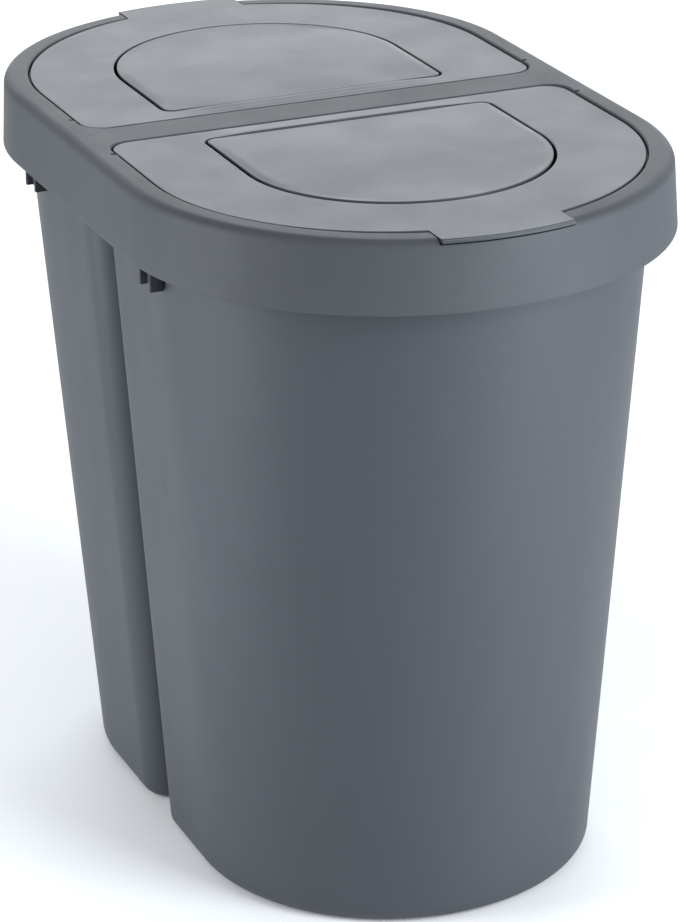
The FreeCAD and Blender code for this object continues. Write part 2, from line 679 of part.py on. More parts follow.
def cut_tab_notches(body):
    """Notches in the rim that let the finger tabs reach the outside."""
    for side, name in ((BACK, "back"), (FRONT, "front")):
        notch = make_sketch(body, f"tab_notch_{name}", offset=frame_top)
        end_segment(notch, size.tab_half_width + size.lid_gap, tab_root,
                    skirt_bottom_radius + size.frame_wall, frame_centre, side)
        pocket(body, notch, frame_top - ledge_top)


def cut_sockets(body):
    """Round sockets for the lids' pins, open upwards through a narrower throat."""
    depth = opening_radius + size.lid_pin_length + size.seat_gap
    for side, name in ((BACK, "back"), (FRONT, "front")):
        bore = make_sketch(body, f"socket_bore_{name}", "YZ_Plane")
        circle(bore, lid_hinge * side, lid_pin_height, size.lid_pin_radius + size.pin_gap)
        pocket(body, bore, depth * 2, both_ways=True)
        throat = make_sketch(body, f"socket_throat_{name}", "YZ_Plane")
        half = size.socket_throat / 2
        rectangle(throat, lid_hinge * side - half, lid_hinge * side + half,
                  lid_pin_height, frame_top + size.frame_wall)
        pocket(body, throat, depth * 2, both_ways=True)


# ---------------------------------------------------------------- lids
def make_lid(label, side):
    body = make_body(label, side)
    outline = make_sketch(body, f"{label}_plate_outline", offset=lid_bottom)
    end_outline(outline, lid_radius, frame_centre, lid_flat, size.opening_corner - size.lid_gap)
    pad(body, outline, size.lid_thickness)

    tab = make_sketch(body, f"{label}_tab", offset=lid_bottom)
    end_segment(tab, size.tab_half_width, tab_root, tab_reach, frame_centre)
    pad(body, tab, size.lid_thickness)

    hood = make_sketch(body, f"{label}_hood", "YZ_Plane")
    polygon(hood, ((hood_start, lid_bottom), (hood_end, lid_bottom),
                   (hood_end, hood_top), (hood_crest_start, hood_top),
                   (hood_start, lid_top)))
    pad(body, hood, size.hood_half_length * 2, both_ways=True)

    opening = make_sketch(body, f"{label}_panel_opening", offset=lid_top)
    end_outline(opening, size.panel_radius + size.panel_gap, panel_centre,
                hood_end, size.panel_corner + size.panel_gap)
    pocket(body, opening, size.lid_thickness)

    rib_outer = ledge_radius - size.lid_rib_gap
    rib = make_sketch(body, f"{label}_rib", offset=lid_bottom - size.lid_rib_depth)
    horseshoe(rib, rib_outer, rib_outer - size.frame_wall, frame_centre,
              ledge_start + size.lid_rib_gap)
    pad(body, rib, size.lid_rib_depth + size.lid_thickness / 2)

    pin_root = lid_radius - size.lid_thickness / 2
    pin = make_sketch(body, f"{label}_pin", "YZ_Plane", pin_root)
    circle(pin, lid_hinge, lid_pin_height, size.lid_pin_radius)
    pin_pad = pad(body, pin, opening_radius + size.lid_pin_length - pin_root)

    ear = make_sketch(body, f"{label}_ear", "YZ_Plane", size.ear_outer - size.ear_width)
    standing_eye(ear, rod_reach - size.ear_depth, rod_reach, rod_height, size.eye_radius)
    ear_pad = pad(body, ear, size.ear_width)
    mirror_across_bar(body, [pin_pad, ear_pad])

    leg_tip = rod_reach - size.spring_fixed_leg
    stop = make_sketch(body, f"{label}_spring_stop", offset=stop_bottom)
    rectangle(stop, size.spring_start - size.spring_stop_half,
              size.spring_start + size.spring_stop_half,
              leg_tip, leg_tip + size.spring_stop_depth)
    pad(body, stop, lid_bottom + size.lid_thickness / 2 - stop_bottom)

    bore = make_sketch(body, f"{label}_rod_bore", "YZ_Plane")
    circle(bore, rod_reach, rod_height, size.rod_radius)
    pocket(body, bore, size.ear_outer * 2 + size.frame_wall, both_ways=True)
    return body


def make_push_flap(label, side):
    body = make_body(label, side)
    outline = make_sketch(body, f"{label}_outline", offset=panel_bottom)
    end_outline(outline, size.panel_radius, panel_centre, panel_flat, size.panel_corner)
    plate = pad(body, outline, size.panel_thickness)
    round_edges(body, plate, size.panel_edge_round,
                lambda edge: level(edge, panel_top.number))

    knuckle = make_sketch(body, f"{label}_knuckle", "YZ_Plane",
                          knuckle_outer - size.knuckle_width)
    hanging_eye(knuckle, panel_bottom + size.panel_edge_round, rod_reach, rod_height,
                size.eye_radius)
    knuckle_pad = pad(body, knuckle, size.knuckle_width)
    mirror_across_bar(body, [knuckle_pad])

    leg_tip = rod_reach + size.spring_moving_leg
    stop = make_sketch(body, f"{label}_spring_stop", offset=stop_bottom)
    rectangle(stop, spring_end - size.spring_stop_half, spring_end + size.spring_stop_half,
              leg_tip - size.spring_stop_depth, leg_tip)
    pad(body, stop, panel_bottom + size.panel_edge_round - stop_bottom)

    bore = make_sketch(body, f"{label}_rod_bore", "YZ_Plane")
    circle(bore, rod_reach, rod_height, size.rod_radius + size.pin_gap)
    pocket(body, bore, knuckle_outer * 2 + size.frame_wall, both_ways=True)
    return body


# ---------------------------------------------------------------- rods and springs
def make_rod(label, side):
    """A plain steel rod through a lid's ears and a push flap's knuckles."""
    half_length = size.ear_outer + size.rod_end
    rod = doc.addObject("Part::Cylinder", label)
    rod.Label = label
    rod.setExpression("Radius", size.rod_radius.text)
    rod.setExpression("Height", (half_length * 2).text)
    rod.Placement = FreeCAD.Placement(
        FreeCAD.Vector(), FreeCAD.Rotation(FreeCAD.Vector(0, 1, 0), 90))
    rod.setExpression("Placement.Base.x", (-half_length).text)
    rod.setExpression("Placement.Base.y", (rod_reach * side).text)
    rod.setExpression("Placement.Base.z", rod_height.text)
    doc.recompute()
    return rod


def make_spring(label, side):
    """A torsion spring on the rod: its legs push the lid and the push flap upwards."""
    body = make_body(label, side)
    wire = make_sketch(body, f"{label}_wire", "XZ_Plane", -rod_reach)
    circle(wire, size.spring_start, wire_height, size.spring_wire_radius)
    start, end = (0, rod_height), (size.spring_start, rod_height)
    axis_line = wire.addGeometry(Part.LineSegment(point(*start), point(*end)), True)
    fix_point(wire, axis_line, 1, *start)
    fix_point(wire, axis_line, 2, *end)
    coil = body.newObject("PartDesign::AdditiveHelix", f"{label}_coil")
    coil.Profile = wire
    coil.ReferenceAxis = (wire, ["Axis0"])
    coil.Mode = 1
    coil.setExpression("Pitch", size.spring_pitch.text)
    coil.setExpression("Turns", size.spring_turns.text)
    coil.Angle = 0
    grows(body, coil)

    for name, along, length, forwards in (
            ("fixed", size.spring_start, size.spring_fixed_leg, False),
            ("moving", spring_end, size.spring_moving_leg, True)):
        leg = make_sketch(body, f"{label}_{name}_leg", "XZ_Plane", -rod_reach)
        circle(leg, along, wire_height, size.spring_wire_radius)
        pad(body, leg, length, reverse=forwards)
    return body


# ---------------------------------------------------------------- the whole bin
pieces = [make_lid_frame("lid_frame")]
for half, place in ((FRONT, "front"), (BACK, "back")):
    pieces.append(make_bucket(f"bucket_{place}", half))
    for across, hand_name in ((half, "right"), (-half, "left")):
        pieces.append(make_lug(f"lug_{place}_{hand_name}", half, across))
    pieces.append(make_lid(f"lid_{place}", half))
    pieces.append(make_push_flap(f"push_flap_{place}", half))
    pieces.append(make_rod(f"hinge_rod_{place}", half))
    pieces.append(make_spring(f"spring_{place}", half))
doc.recompute()

faults = [item.Name for item in doc.Objects if {"Invalid", "Error"} & set(item.State)]
if faults:
    raise RuntimeError(f"failed objects: {faults}")
for piece in pieces:
    if piece.Shape.isNull() or not piece.Shape.isValid():
        raise RuntimeError(f"{piece.Label} has no valid shape")
for piece in pieces:
    piece.Shape.exportStep(f"parts/{piece.Label}.step")
    box = piece.Shape.optimalBoundingBox()
    content = piece.Shape.Volume / 1000
    print(f"{piece.Label:20s} solids {len(piece.Shape.Solids)}  {content:8.1f} cm3  "
          f"X {box.XMin:7.1f} {box.XMax:7.1f}  Y {box.YMin:7.1f} {box.YMax:7.1f}  "
          f"Z {box.ZMin:6.1f} {box.ZMax:6.1f}")
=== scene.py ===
"""Looks of the double recycling bin: moulded shells, steel rods and springs, and a pale studio.

Everything is in metres in the frame's own axes: origin on the floor at the middle of the bin,
+X along the centre bar, +Y towards the back bucket, +Z up.  Each half of the bin is drawn on the
+Y side, and the front one is the same shape turned half round the middle.
"""
import math
from collections import namedtuple

import bpy
import numpy as np
from bpy.props import FloatProperty, FloatVectorProperty, PointerProperty
from mathutils import Matrix, Vector


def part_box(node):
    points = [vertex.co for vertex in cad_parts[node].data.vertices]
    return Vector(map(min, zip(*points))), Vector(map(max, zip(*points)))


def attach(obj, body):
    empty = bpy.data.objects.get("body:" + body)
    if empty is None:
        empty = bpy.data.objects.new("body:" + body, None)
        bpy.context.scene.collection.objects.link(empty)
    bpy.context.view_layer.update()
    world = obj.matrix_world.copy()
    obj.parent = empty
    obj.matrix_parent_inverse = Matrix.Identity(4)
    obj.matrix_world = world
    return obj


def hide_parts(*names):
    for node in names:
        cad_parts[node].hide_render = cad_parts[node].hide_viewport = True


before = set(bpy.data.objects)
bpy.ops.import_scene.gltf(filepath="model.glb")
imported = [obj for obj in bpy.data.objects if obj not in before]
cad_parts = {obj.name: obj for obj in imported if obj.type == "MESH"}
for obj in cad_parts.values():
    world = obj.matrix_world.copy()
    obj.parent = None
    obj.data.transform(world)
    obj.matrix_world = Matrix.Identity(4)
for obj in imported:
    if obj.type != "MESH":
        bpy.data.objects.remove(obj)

bl_info = {
    "name": "Double recycling bin",
    "version": (1, 0, 0),
    "blender": (4, 5, 0),
    "location": "View3D > Sidebar > Recycling bin",
    "description": "Builds the shells, lids, hardware and studio of a double recycling bin",
    "category": "Add Mesh",
}

FRONT, BACK = -1, 1
HALVES = ((FRONT, "front"), (BACK, "back"))
HANDS = (1, -1)           # right and left
WELD = 2e-6               # points nearer than this are one point
SHARP_ANGLE = math.radians(38)

# Columns of points around one half of the bin
ROUND_STEPS = 28          # from a straight side to the finger tab
TAB_STEPS = 16            # across the finger tab
SIDE_STEPS = 10           # along a straight side
CORNER_STEPS = 12         # round a corner beside the bar
BAR_END_STEPS = 5         # from a corner to the hood
HOOD_STEPS = 40           # along the hood
SLOT_STOPS = 4            # across the slot of a hinge socket, and below it

# Rows of points across the shells
ARC_STEPS = 6             # round an edge
EDGE_STEPS = 3            # round the edge of a small part
TURN_STEPS = 8            # round the turn at a bucket's floor, and inside the shoulder
EYE_STEPS = 12            # round an eye or a knuckle
INSIDE_ROWS = 24          # up the inside of a bucket
OUTSIDE_ROWS = 40         # down the outside of a bucket
FLANGE_ROWS = 5           # across the top of a bucket's flange
UNDER_ROWS = 4            # across the underside of that flange
SHOULDER_STEPS = 12       # round the frame's shoulder
SKIRT_ROWS = 12           # down the frame's skirt
HEM_STEPS = 4             # round each half of the skirt's hem
PLATE_ROWS = 24           # across a lid, from its window to its edge
UNDER_PLATE_ROWS = 6      # across the underside of a lid
FLAP_ROWS = 20            # from the middle of a push flap to its edge
ROD_SIDES, POST_SIDES, WIRE_SIDES = 24, 16, 10

# Shares of a ring's size, from the middle of a closed floor out to its edge, or back in
FLOOR_PARTS = (0, 0.2, 0.45, 0.7, 0.9, 0.98)
UNDERSIDE_PARTS = (0.98, 0.9, 0.6, 0.3, 0)
UNDER_FLAP_PARTS = (0.97, 0.6, 0.3, 0)

# Posts of the frame
POST_ANGLES = (12.0, 40.0, 64.0, 116.0, 140.0, 168.0)   # degrees round the end
POST_BESIDE = 0.060       # those beside the straight sides, across the bar
POST_ALONG = (-0.070, 0.0, 0.070)                       # those under the bar, along it
POST_BAR = 0.006          # those under the bar, across it
POST_TIP = 0.85           # a post's foot, as a share of its radius

# Shapes
FRAME_DROP = 0.0007       # how far the frame lies below its solid, for the lines beside the lids
PLATE_START = 1.4         # first level row beside an opening, in roundings of its edge
HOOD_SWELL = 0.06         # rounding of the hood's slope
CROWN_PEAK = 0.4          # where a push flap is highest, as a share of the way over it
DISH_START = 0.5          # where its dish starts, in the same shares
FLAP_RUN = 0.9            # a push flap's run of parallel columns, as a share of the hood's
SPRING_PLAY = 0.0003      # between a spring's leg and its stop
COIL_TURNS = 6            # turns of a spring
RIDING_TURN = 100 / 360   # the part of the last turn that rides on the push flap
COIL_POINTS = 200         # along the part that rides on the lid
RIDING_POINTS = 14        # along the part that rides on the push flap
LEG_POINTS = 6            # along a spring's straight leg
BLOCK_POINTS = 4          # along each side of an ear's block
STEM_POINTS = 3           # along each side of a knuckle's block
FLOOR_DROP = 0.0004       # studio floor below the bin's feet
FLOOR_LINES = 5           # points along each side of that floor


# ------------------------------------------------------------------ sizes taken from the frame
def high(node):
    """Upper corner of a node's box."""
    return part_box(node)[1]


def low(node):
    """Lower corner of a node's box."""
    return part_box(node)[0]


bucket_high, frame_high, lid_high, flap_high = (
    high(node) for node in ("bucket_back", "lid_frame", "lid_back", "push_flap_back"))
rod_low, rod_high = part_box("hinge_rod_back")
lug_low, lug_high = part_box("lug_back_right")


def length(name, description, default):
    """A property for a length, in metres."""
    return FloatProperty(name=name, description=description, default=default,
                         min=0.0, precision=4, subtype="DISTANCE", unit="LENGTH")


def colour(name, description, default):
    """A property for a colour, as linear red, green and blue."""
    return FloatVectorProperty(name=name, description=description, default=default,
                               min=0.0, max=1.0, size=3, subtype="COLOR")


def share(name, description, default):
    """A property for a share from 0 to 1."""
    return FloatProperty(name=name, description=description, default=default,
                         min=0.0, max=1.0, subtype="FACTOR")


def power(name, description, default):
    """A property for the power of a light, in watts."""
    return FloatProperty(name=name, description=description, default=default,
                         min=0.0, subtype="POWER", unit="POWER")


class BucketSizes(bpy.types.PropertyGroup):
    """Sizes of the two buckets."""
    rim_height: length("Rim height", "Floor to the top of a rim", bucket_high.z)
    rim_reach: length("Rim reach", "Round end of a bucket at its rim", 0.1643)
    rim_centre: length("Rim centre",
                       "Middle of the bin to the centre of the round end, at the rim",
                       bucket_high.y - bucket_high.x)
    rim_flat: length("Rim flat", "Middle of the bin to the flat wall, at the rim", 0.008)
    rim_corner: length("Rim corner", "Upright corner beside the flat wall, at the rim", 0.023)
    base_reach: length("Base reach", "Round end of a bucket at the floor", 0.1347)
    base_centre: length("Base centre",
                        "Middle of the bin to the centre of the round end, at the floor", 0.0898)
    base_flat: length("Base flat", "Middle of the bin to the flat wall, at the floor", 0.010)
    base_corner: length("Base corner", "Upright corner beside the flat wall, at the floor", 0.020)
    base_round: length("Base round", "Rounding between the floor and the walls", 0.010)
    wall: length("Wall", "Wall of a bucket", 0.0022)
    floor: length("Floor", "Floor of a bucket", 0.0028)
    foot_width: length("Foot width", "Ring around the floor that a bucket stands on", 0.007)
    foot_depth: length("Foot depth", "Recess of the floor inside that ring", 0.0012)
    flange_reach: length("Flange reach", "Round end of the rim flange", bucket_high.x)
    flange_parting: length("Flange parting", "Middle of the bin to the flange on the flat wall",
                           low("bucket_back").y)
    flange_thickness: length("Flange thickness", "Thickness of the rim flange", 0.0022)


class FrameSizes(bpy.types.PropertyGroup):
    """Sizes of the lid frame."""
    centre: length("Centre", "Middle of the bin to the centre of the frame's round ends",
                   frame_high.y - frame_high.x)
    hem_reach: length("Hem reach", "Round end of the skirt's lower edge", frame_high.x)
    shoulder_reach: length("Shoulder reach", "Round end of the skirt under its shoulder", 0.1778)
    hem_height: length("Hem height", "Floor to the skirt's lower edge", low("lid_frame").z)
    top: length("Top", "Floor to the top of the frame", frame_high.z - FRAME_DROP)
    wall: length("Wall", "Wall of the frame", 0.0024)
    shoulder_round: length("Shoulder round", "Rounding between skirt and top", 0.0068)
    opening_reach: length("Opening reach", "Round end of a lid opening", 0.1611)
    opening_corner: length("Opening corner", "Corners of a lid opening", 0.017)
    opening_round: length("Opening round", "Rounding of an opening's upper edge", 0.0016)
    bar_half: length("Bar half width", "Half of the centre bar", 0.0165)
    ledge_reach: length("Ledge reach", "Inner edge of the ledge under a lid", 0.150)
    ledge_start: length("Ledge start", "Middle of the bin to the start of the ledge", 0.047)
    ledge_top: length("Ledge top", "Floor to the top of the ledge", 0.4856)
    notch_half: length("Notch half width", "Half of the notch for a finger tab", 0.0443)
    socket_reach: length("Socket reach", "Middle of the bin to the hinge sockets", 0.041)
    socket_width: length("Socket width", "Slot through which a hinge pin snaps in", 0.0032)
    socket_depth: length("Socket depth", "Depth of that slot, out from the opening", 0.0034)
    bar_dip: length("Bar dip", "How far the bar's middle lies below the rim", 0.0008)
    tab_dip: length("Tab dip", "How far the rim sinks beside a finger tab", 0.0014)
    bar_ease: length("Bar ease", "Slope from the rim down to the bar", 0.016)
    socket_floor: length("Socket floor", "Floor to the bottom of that slot", 0.4852)
    post_radius: length("Post radius", "Posts that stand on the bucket rims", 0.0025)
    rim_seat: length("Rim seat", "Floor to the feet of the posts", 0.4803)


class LidSizes(bpy.types.PropertyGroup):
    """Sizes of the two lids."""
    reach: length("Reach", "Round end of a lid", 0.1597)
    flat: length("Flat", "Middle of the bin to a lid's straight edge", low("lid_back").y)
    corner: length("Corner", "Corners beside the bar", 0.0162)
    top: length("Top", "Floor to the top of the plate", 0.4893)
    thickness: length("Thickness", "Plate of a lid", 0.003)
    edge_round: length("Edge round", "Rounding of the plate's upper edges", 0.0009)
    tab_half: length("Tab half width", "Half of the finger tab", 0.0435)
    tab_reach: length("Tab reach", "Outer edge of the tab from the centre of the round end",
                      lid_high.y - (frame_high.y - frame_high.x))
    tab_drop: length("Tab drop", "How far the tab's outer edge curves down", 0.0004)
    tab_bottom: length("Tab bottom", "Floor to the underside of the tab's outer part", 0.4871)
    tab_groove: length("Tab groove", "Depth and width of the line behind the tab's lip", 0.0005)
    tab_lip: length("Tab lip", "Width of the tab's lip", 0.0010)
    hood_start: length("Hood start", "Middle of the bin to the foot of the hood", 0.0195)
    hood_crest: length("Hood crest", "Middle of the bin to the top of the hood's slope", 0.0295)
    hood_end: length("Hood end", "Middle of the bin to the hood's upright face", 0.0335)
    hood_top: length("Hood top", "Floor to the crest of the hood", 0.4901)
    hood_half: length("Hood half length", "Half of the hood, along the bar", 0.097)
    hood_fade: length("Hood fade", "Slope down at each end of the hood", 0.036)
    hood_run: length("Hood run", "Half of the hood's part with parallel columns", 0.088)
    window_gap: length("Window gap", "Gap around a push flap", 0.002)
    window_corner: length("Window corner", "Corners of the push flap's window", 0.009)
    rib_reach: length("Rib reach", "Outside of the stiffening rib under a lid", 0.1485)
    rib_width: length("Rib width", "Thickness of that rib", 0.0024)
    rib_start: length("Rib start", "Middle of the bin to the start of that rib", 0.0485)
    rib_bottom: length("Rib bottom", "Floor to the foot of that rib", low("lid_back").z)
    pin_radius: length("Pin radius", "Hinge pins moulded on a lid", 0.002)
    pin_tip: length("Pin tip", "Middle of the bar to the end of a hinge pin", 0.1634)
    pin_height: length("Pin height", "Floor to a lid's hinge line", 0.487)
    pin_reach: length("Pin reach", "Middle of the bin to a lid's hinge line", 0.041)
    ear_outer: length("Ear outer", "Middle of the bar to the outer face of an ear", 0.095)
    ear_width: length("Ear width", "Width of an ear", 0.004)
    ear_back: length("Ear back", "Middle of the bin to the back of an ear", 0.030)
    eye_radius: length("Eye radius", "Outside of the eyes around a hinge rod", 0.0032)


class FlapSizes(bpy.types.PropertyGroup):
    """Sizes of the two push flaps."""
    reach: length("Reach", "Round end of a push flap", flap_high.x)
    centre: length("Centre", "Middle of the bin to the centre of that round end",
                   flap_high.y - flap_high.x)
    flat: length("Flat", "Middle of the bin to a push flap's straight edge",
                 low("push_flap_back").y)
    corner: length("Corner", "Corners beside the hood", 0.007)
    top: length("Top", "Floor to the top of the flap's edge", 0.4897)
    thickness: length("Thickness", "Plate of a push flap", 0.0019)
    edge_round: length("Edge round", "Rounding of the flap's upper edge", 0.0009)
    hinge_drop: length("Hinge drop", "How far the hinged edge lies below the round edge", 0.0002)
    hinge_run: length("Hinge run", "Slope up from the hinged edge", 0.030)
    crown: length("Crown", "Rise of the plate between its hinge and its middle", 0.0011)
    dish: length("Dish", "Dip of the plate between its middle and its round edge", 0.0004)
    knuckle_outer: length("Knuckle outer", "Middle of the bar to the outer face of a knuckle",
                          0.089)
    knuckle_width: length("Knuckle width", "Width of a knuckle", 0.005)


class HardwareSizes(bpy.types.PropertyGroup):
    """Sizes of the rods, springs and lugs."""
    rod_half: length("Rod half length", "Half of a hinge rod", rod_high.x)
    rod_radius: length("Rod radius", "Steel hinge rod", (rod_high.z - rod_low.z) / 2)
    rod_reach: length("Rod reach", "Middle of the bin to the axis of a rod",
                      (rod_high.y + rod_low.y) / 2)
    rod_height: length("Rod height", "Floor to the axis of a rod", (rod_high.z + rod_low.z) / 2)
    wire_radius: length("Wire radius", "Spring wire", 0.0004)
    coil_radius: length("Coil radius", "Middle line of a spring's coil", 0.0025)
    coil_start: length("Coil start", "First turn, along the bar", 0.060)
    coil_length: length("Coil length", "First turn to last turn", 0.0066)
    fixed_leg: length("Fixed leg", "Leg that bears on the lid", 0.0095)
    moving_leg: length("Moving leg", "Leg that bears on the push flap", 0.012)
    stop_depth: length("Stop depth", "Stops that the legs bear on, across the bar", 0.0035)
    stop_half: length("Stop half width", "Half width of those stops", 0.0025)
    lug_rib: length("Lug rib", "Thickness of a lug's ribs", 0.003)
    lug_back: length("Lug back", "Thickness of the plate that joins the ribs", 0.002)
    lug_gap: length("Lug gap", "Clearance between a lug and the wall", 0.00025)
    lug_round: length("Lug round", "Rounding of a lug's edges", 0.0006)


class Finish(bpy.types.PropertyGroup):
    """Colours and surface of the materials."""
    bucket_colour: colour("Buckets", "Colour of the buckets", (0.0490, 0.0555, 0.0660))
    frame_colour: colour("Frame", "Colour of the lid frame", (0.0590, 0.0645, 0.0730))
    lid_colour: colour("Lids", "Colour of the lids and push flaps", (0.0510, 0.0585, 0.0705))
    # The lugs' dark colour is painted shade: they sit in the shade under the frame's skirt
    lug_painted_shade_colour: colour("Lugs", "Colour of the dark lugs", (0.018, 0.021, 0.026))
    steel_colour: colour("Steel", "Colour of rods and springs", (0.55, 0.56, 0.57))
    shell_roughness: share("Shell roughness", "Roughness of the buckets", 0.5)
    lid_roughness: share("Lid roughness", "Roughness of lids and push flaps", 0.42)
    shell_shine: share("Shell shine", "Strength of the reflections of the buckets", 0.3)
    frame_roughness: share("Frame roughness", "Roughness of the lid frame", 0.56)
    frame_shine: share("Frame shine", "Strength of the reflections of the lid frame", 0.25)
    lid_shine: share("Lid shine", "Strength of the reflections of the lids and push flaps", 0.25)
    grain: length("Grain", "Depth of the fine moulded grain", 0.00003)


class StudioSettings(bpy.types.PropertyGroup):
    """Floor, lights and camera of the studio."""
    floor_colour: colour("Floor", "Colour of the pale floor", (0.93, 0.935, 0.945))
    floor_half: length("Floor half width", "Half of the floor's side", 14.0)
    back_power: power("Back light", "Strength of the wide light behind the bin", 28.7)
    high_back_power: power("High back light", "Strength of the light above that one", 14.4)
    right_power: power("Right light", "Strength of the tall light to the right", 35.1)
    near_right_power: power("Near right light", "Strength of the small light to the right", 3.6)
    near_left_power: power("Near left light", "Strength of the small light to the left", 12.3)
    world_strength: FloatProperty(name="Surroundings",
                                  description="Strength of the pale surroundings",
                                  default=0.5, min=0.0)


GROUPS = {"bin_bucket": BucketSizes, "bin_frame": FrameSizes, "bin_lid": LidSizes,
          "bin_flap": FlapSizes, "bin_hardware": HardwareSizes, "bin_finish": Finish,
          "bin_studio": StudioSettings}


def settings(name):
    """The values of one group, as the sidebar shows them."""
    return getattr(bpy.context.scene, f"bin_{name}")


# ------------------------------------------------------------------ outlines of one half
# reach: radius of the round end, and half the width; centre: y of the round end's centre;
# flat: y of the straight edge; corner: radius of the corners beside that edge
Half = namedtuple("Half", "reach centre flat corner")


def grown(half, distance):
    """The outline with every edge moved outward by the distance, so that it stays parallel."""
    distance = np.asarray(distance, float)
    return Half(half.reach + distance, half.centre + 0 * distance,
                half.flat - distance, half.corner + distance)


def mixed(first, second, part):
    """Outlines on the straight way from one to the other: first + (second - first) x part."""
    part = np.asarray(part, float)
    return Half(*(one + (two - one) * part for one, two in zip(first, second)))


def stacked(*halves):
    """Several runs of outlines in one, row after row."""
    rows = [np.broadcast_arrays(*(np.atleast_1d(value) for value in half)) for half in halves]
    return Half(*(np.concatenate(column) for column in zip(*rows)))


def column_kinds(side_stops):
    """For each column of an outline, the stretch that it belongs to."""
    bar = 2 * (BAR_END_STEPS + 1) + HOOD_STEPS + 1
    runs = (("round", ROUND_STEPS + 1), ("tab", TAB_STEPS + 1), ("round", ROUND_STEPS + 1),
            ("left side", len(side_stops)), ("left corner", CORNER_STEPS + 1), ("bar", bar),
            ("right corner", CORNER_STEPS + 1), ("right side", len(side_stops)))
    return np.concatenate([np.full(count, kind) for kind, count in runs])


def bar_columns(inner, hood):
    """Places along the bar, from one corner to the other, parallel along the hood."""
    end = np.linspace(0, 1, BAR_END_STEPS + 1)[None]
    along = np.linspace(1, -1, HOOD_STEPS + 1)[None]
    first = inner + (hood - inner) * end
    return np.hstack((first, hood * along + 0 * inner, -first[:, ::-1]))


def end_columns(reach, tab):
    """Angles round an end: even steps beside the tab, and even steps of x across it."""
    edge = np.arccos(tab / reach)
    sweep = np.linspace(0, 1, ROUND_STEPS + 1)[None]
    across = np.linspace(1, -1, TAB_STEPS + 1)[None]
    return np.hstack((edge * sweep, np.arccos(across * tab / reach),
                      np.pi - edge * sweep[:, ::-1]))


def half_outline(half, tab, hood, side_stops):
    """x and y of outlines of one half, a row for each outline and a column for each place.

    A round end (reach x cos a, centre + reach x sin a), straight sides at x = -reach and reach,
    quarter circles of the corner radius, and a straight edge at y = flat, all anticlockwise.
    """
    reach, centre, flat, corner = (np.atleast_1d(value)[:, None].astype(float) for value in half)
    angle = end_columns(reach, tab)
    side = centre + (flat + corner - centre) * side_stops[None]
    turn = np.linspace(0, np.pi / 2, CORNER_STEPS + 1)[None]
    corner_x = reach - corner + corner * np.cos(turn)
    corner_y = flat + corner - corner * np.sin(turn)
    bar = bar_columns(reach - corner, hood)
    flank = reach + 0 * side
    x = np.hstack((reach * np.cos(angle), -flank, -corner_x, -bar, corner_x[:, ::-1], flank))
    y = np.hstack((centre + reach * np.sin(angle), side, corner_y, flat + 0 * bar,
                   corner_y[:, ::-1], side[:, ::-1]))
    return x, y


def frame_outline(reach, opening, tab, hood, side_stops):
    """x and y of the whole frame's outline at several reaches, in the columns of an opening.

    Round end and straight sides as in half_outline; beside a corner of the opening the line runs
    on to the middle of the bin, turns there, and follows it under the bar.
    """
    reach = np.atleast_1d(reach)[:, None].astype(float)
    angle = end_columns(reach, tab)
    foot = opening.flat + opening.corner
    side = opening.centre + (foot - opening.centre) * side_stops[None] + 0 * reach
    turn = np.linspace(0, 2, CORNER_STEPS + 1)[None]
    inner = opening.reach - opening.corner
    corner_x = reach + (inner - reach) * np.clip(turn - 1, 0, 1)
    corner_y = foot * (1 - np.clip(turn, 0, 1)) + 0 * reach
    bar = bar_columns(np.array([[inner]]), hood) + 0 * reach
    flank = reach + 0 * side
    x = np.hstack((reach * np.cos(angle), -flank, -corner_x, -bar, corner_x[:, ::-1], flank))
    y = np.hstack((opening.centre + reach * np.sin(angle), side, corner_y, 0 * bar,
                   corner_y[:, ::-1], side[:, ::-1]))
    return x, y


def arc_rows(radius, start, end, steps=ARC_STEPS):
    """Cosine and sine of even steps from one angle to another, in degrees, times the radius."""
    angle = np.radians(np.linspace(start, end, steps + 1))
    return radius * np.cos(angle), radius * np.sin(angle)


def grid_of(outline, height):
    """Rows of points from rows of outlines and a height for each row or each point."""
    x, y = outline
    height = np.asarray(height, float)
    height = height[:, None] + 0 * x if height.ndim == 1 else height
    return np.stack((x, y, height), axis=-1)


def shrunk(ring, parts):
    """Rings inside a ring: middle + (ring - middle) x part, down to the middle itself at 0."""
    middle = ring.mean(axis=0)
    return middle + (ring - middle)[None] * np.asarray(parts, float)[:, None, None]


def plain_stops():
    """Even places down a straight side."""
    return np.linspace(0, 1, SIDE_STEPS + 1)


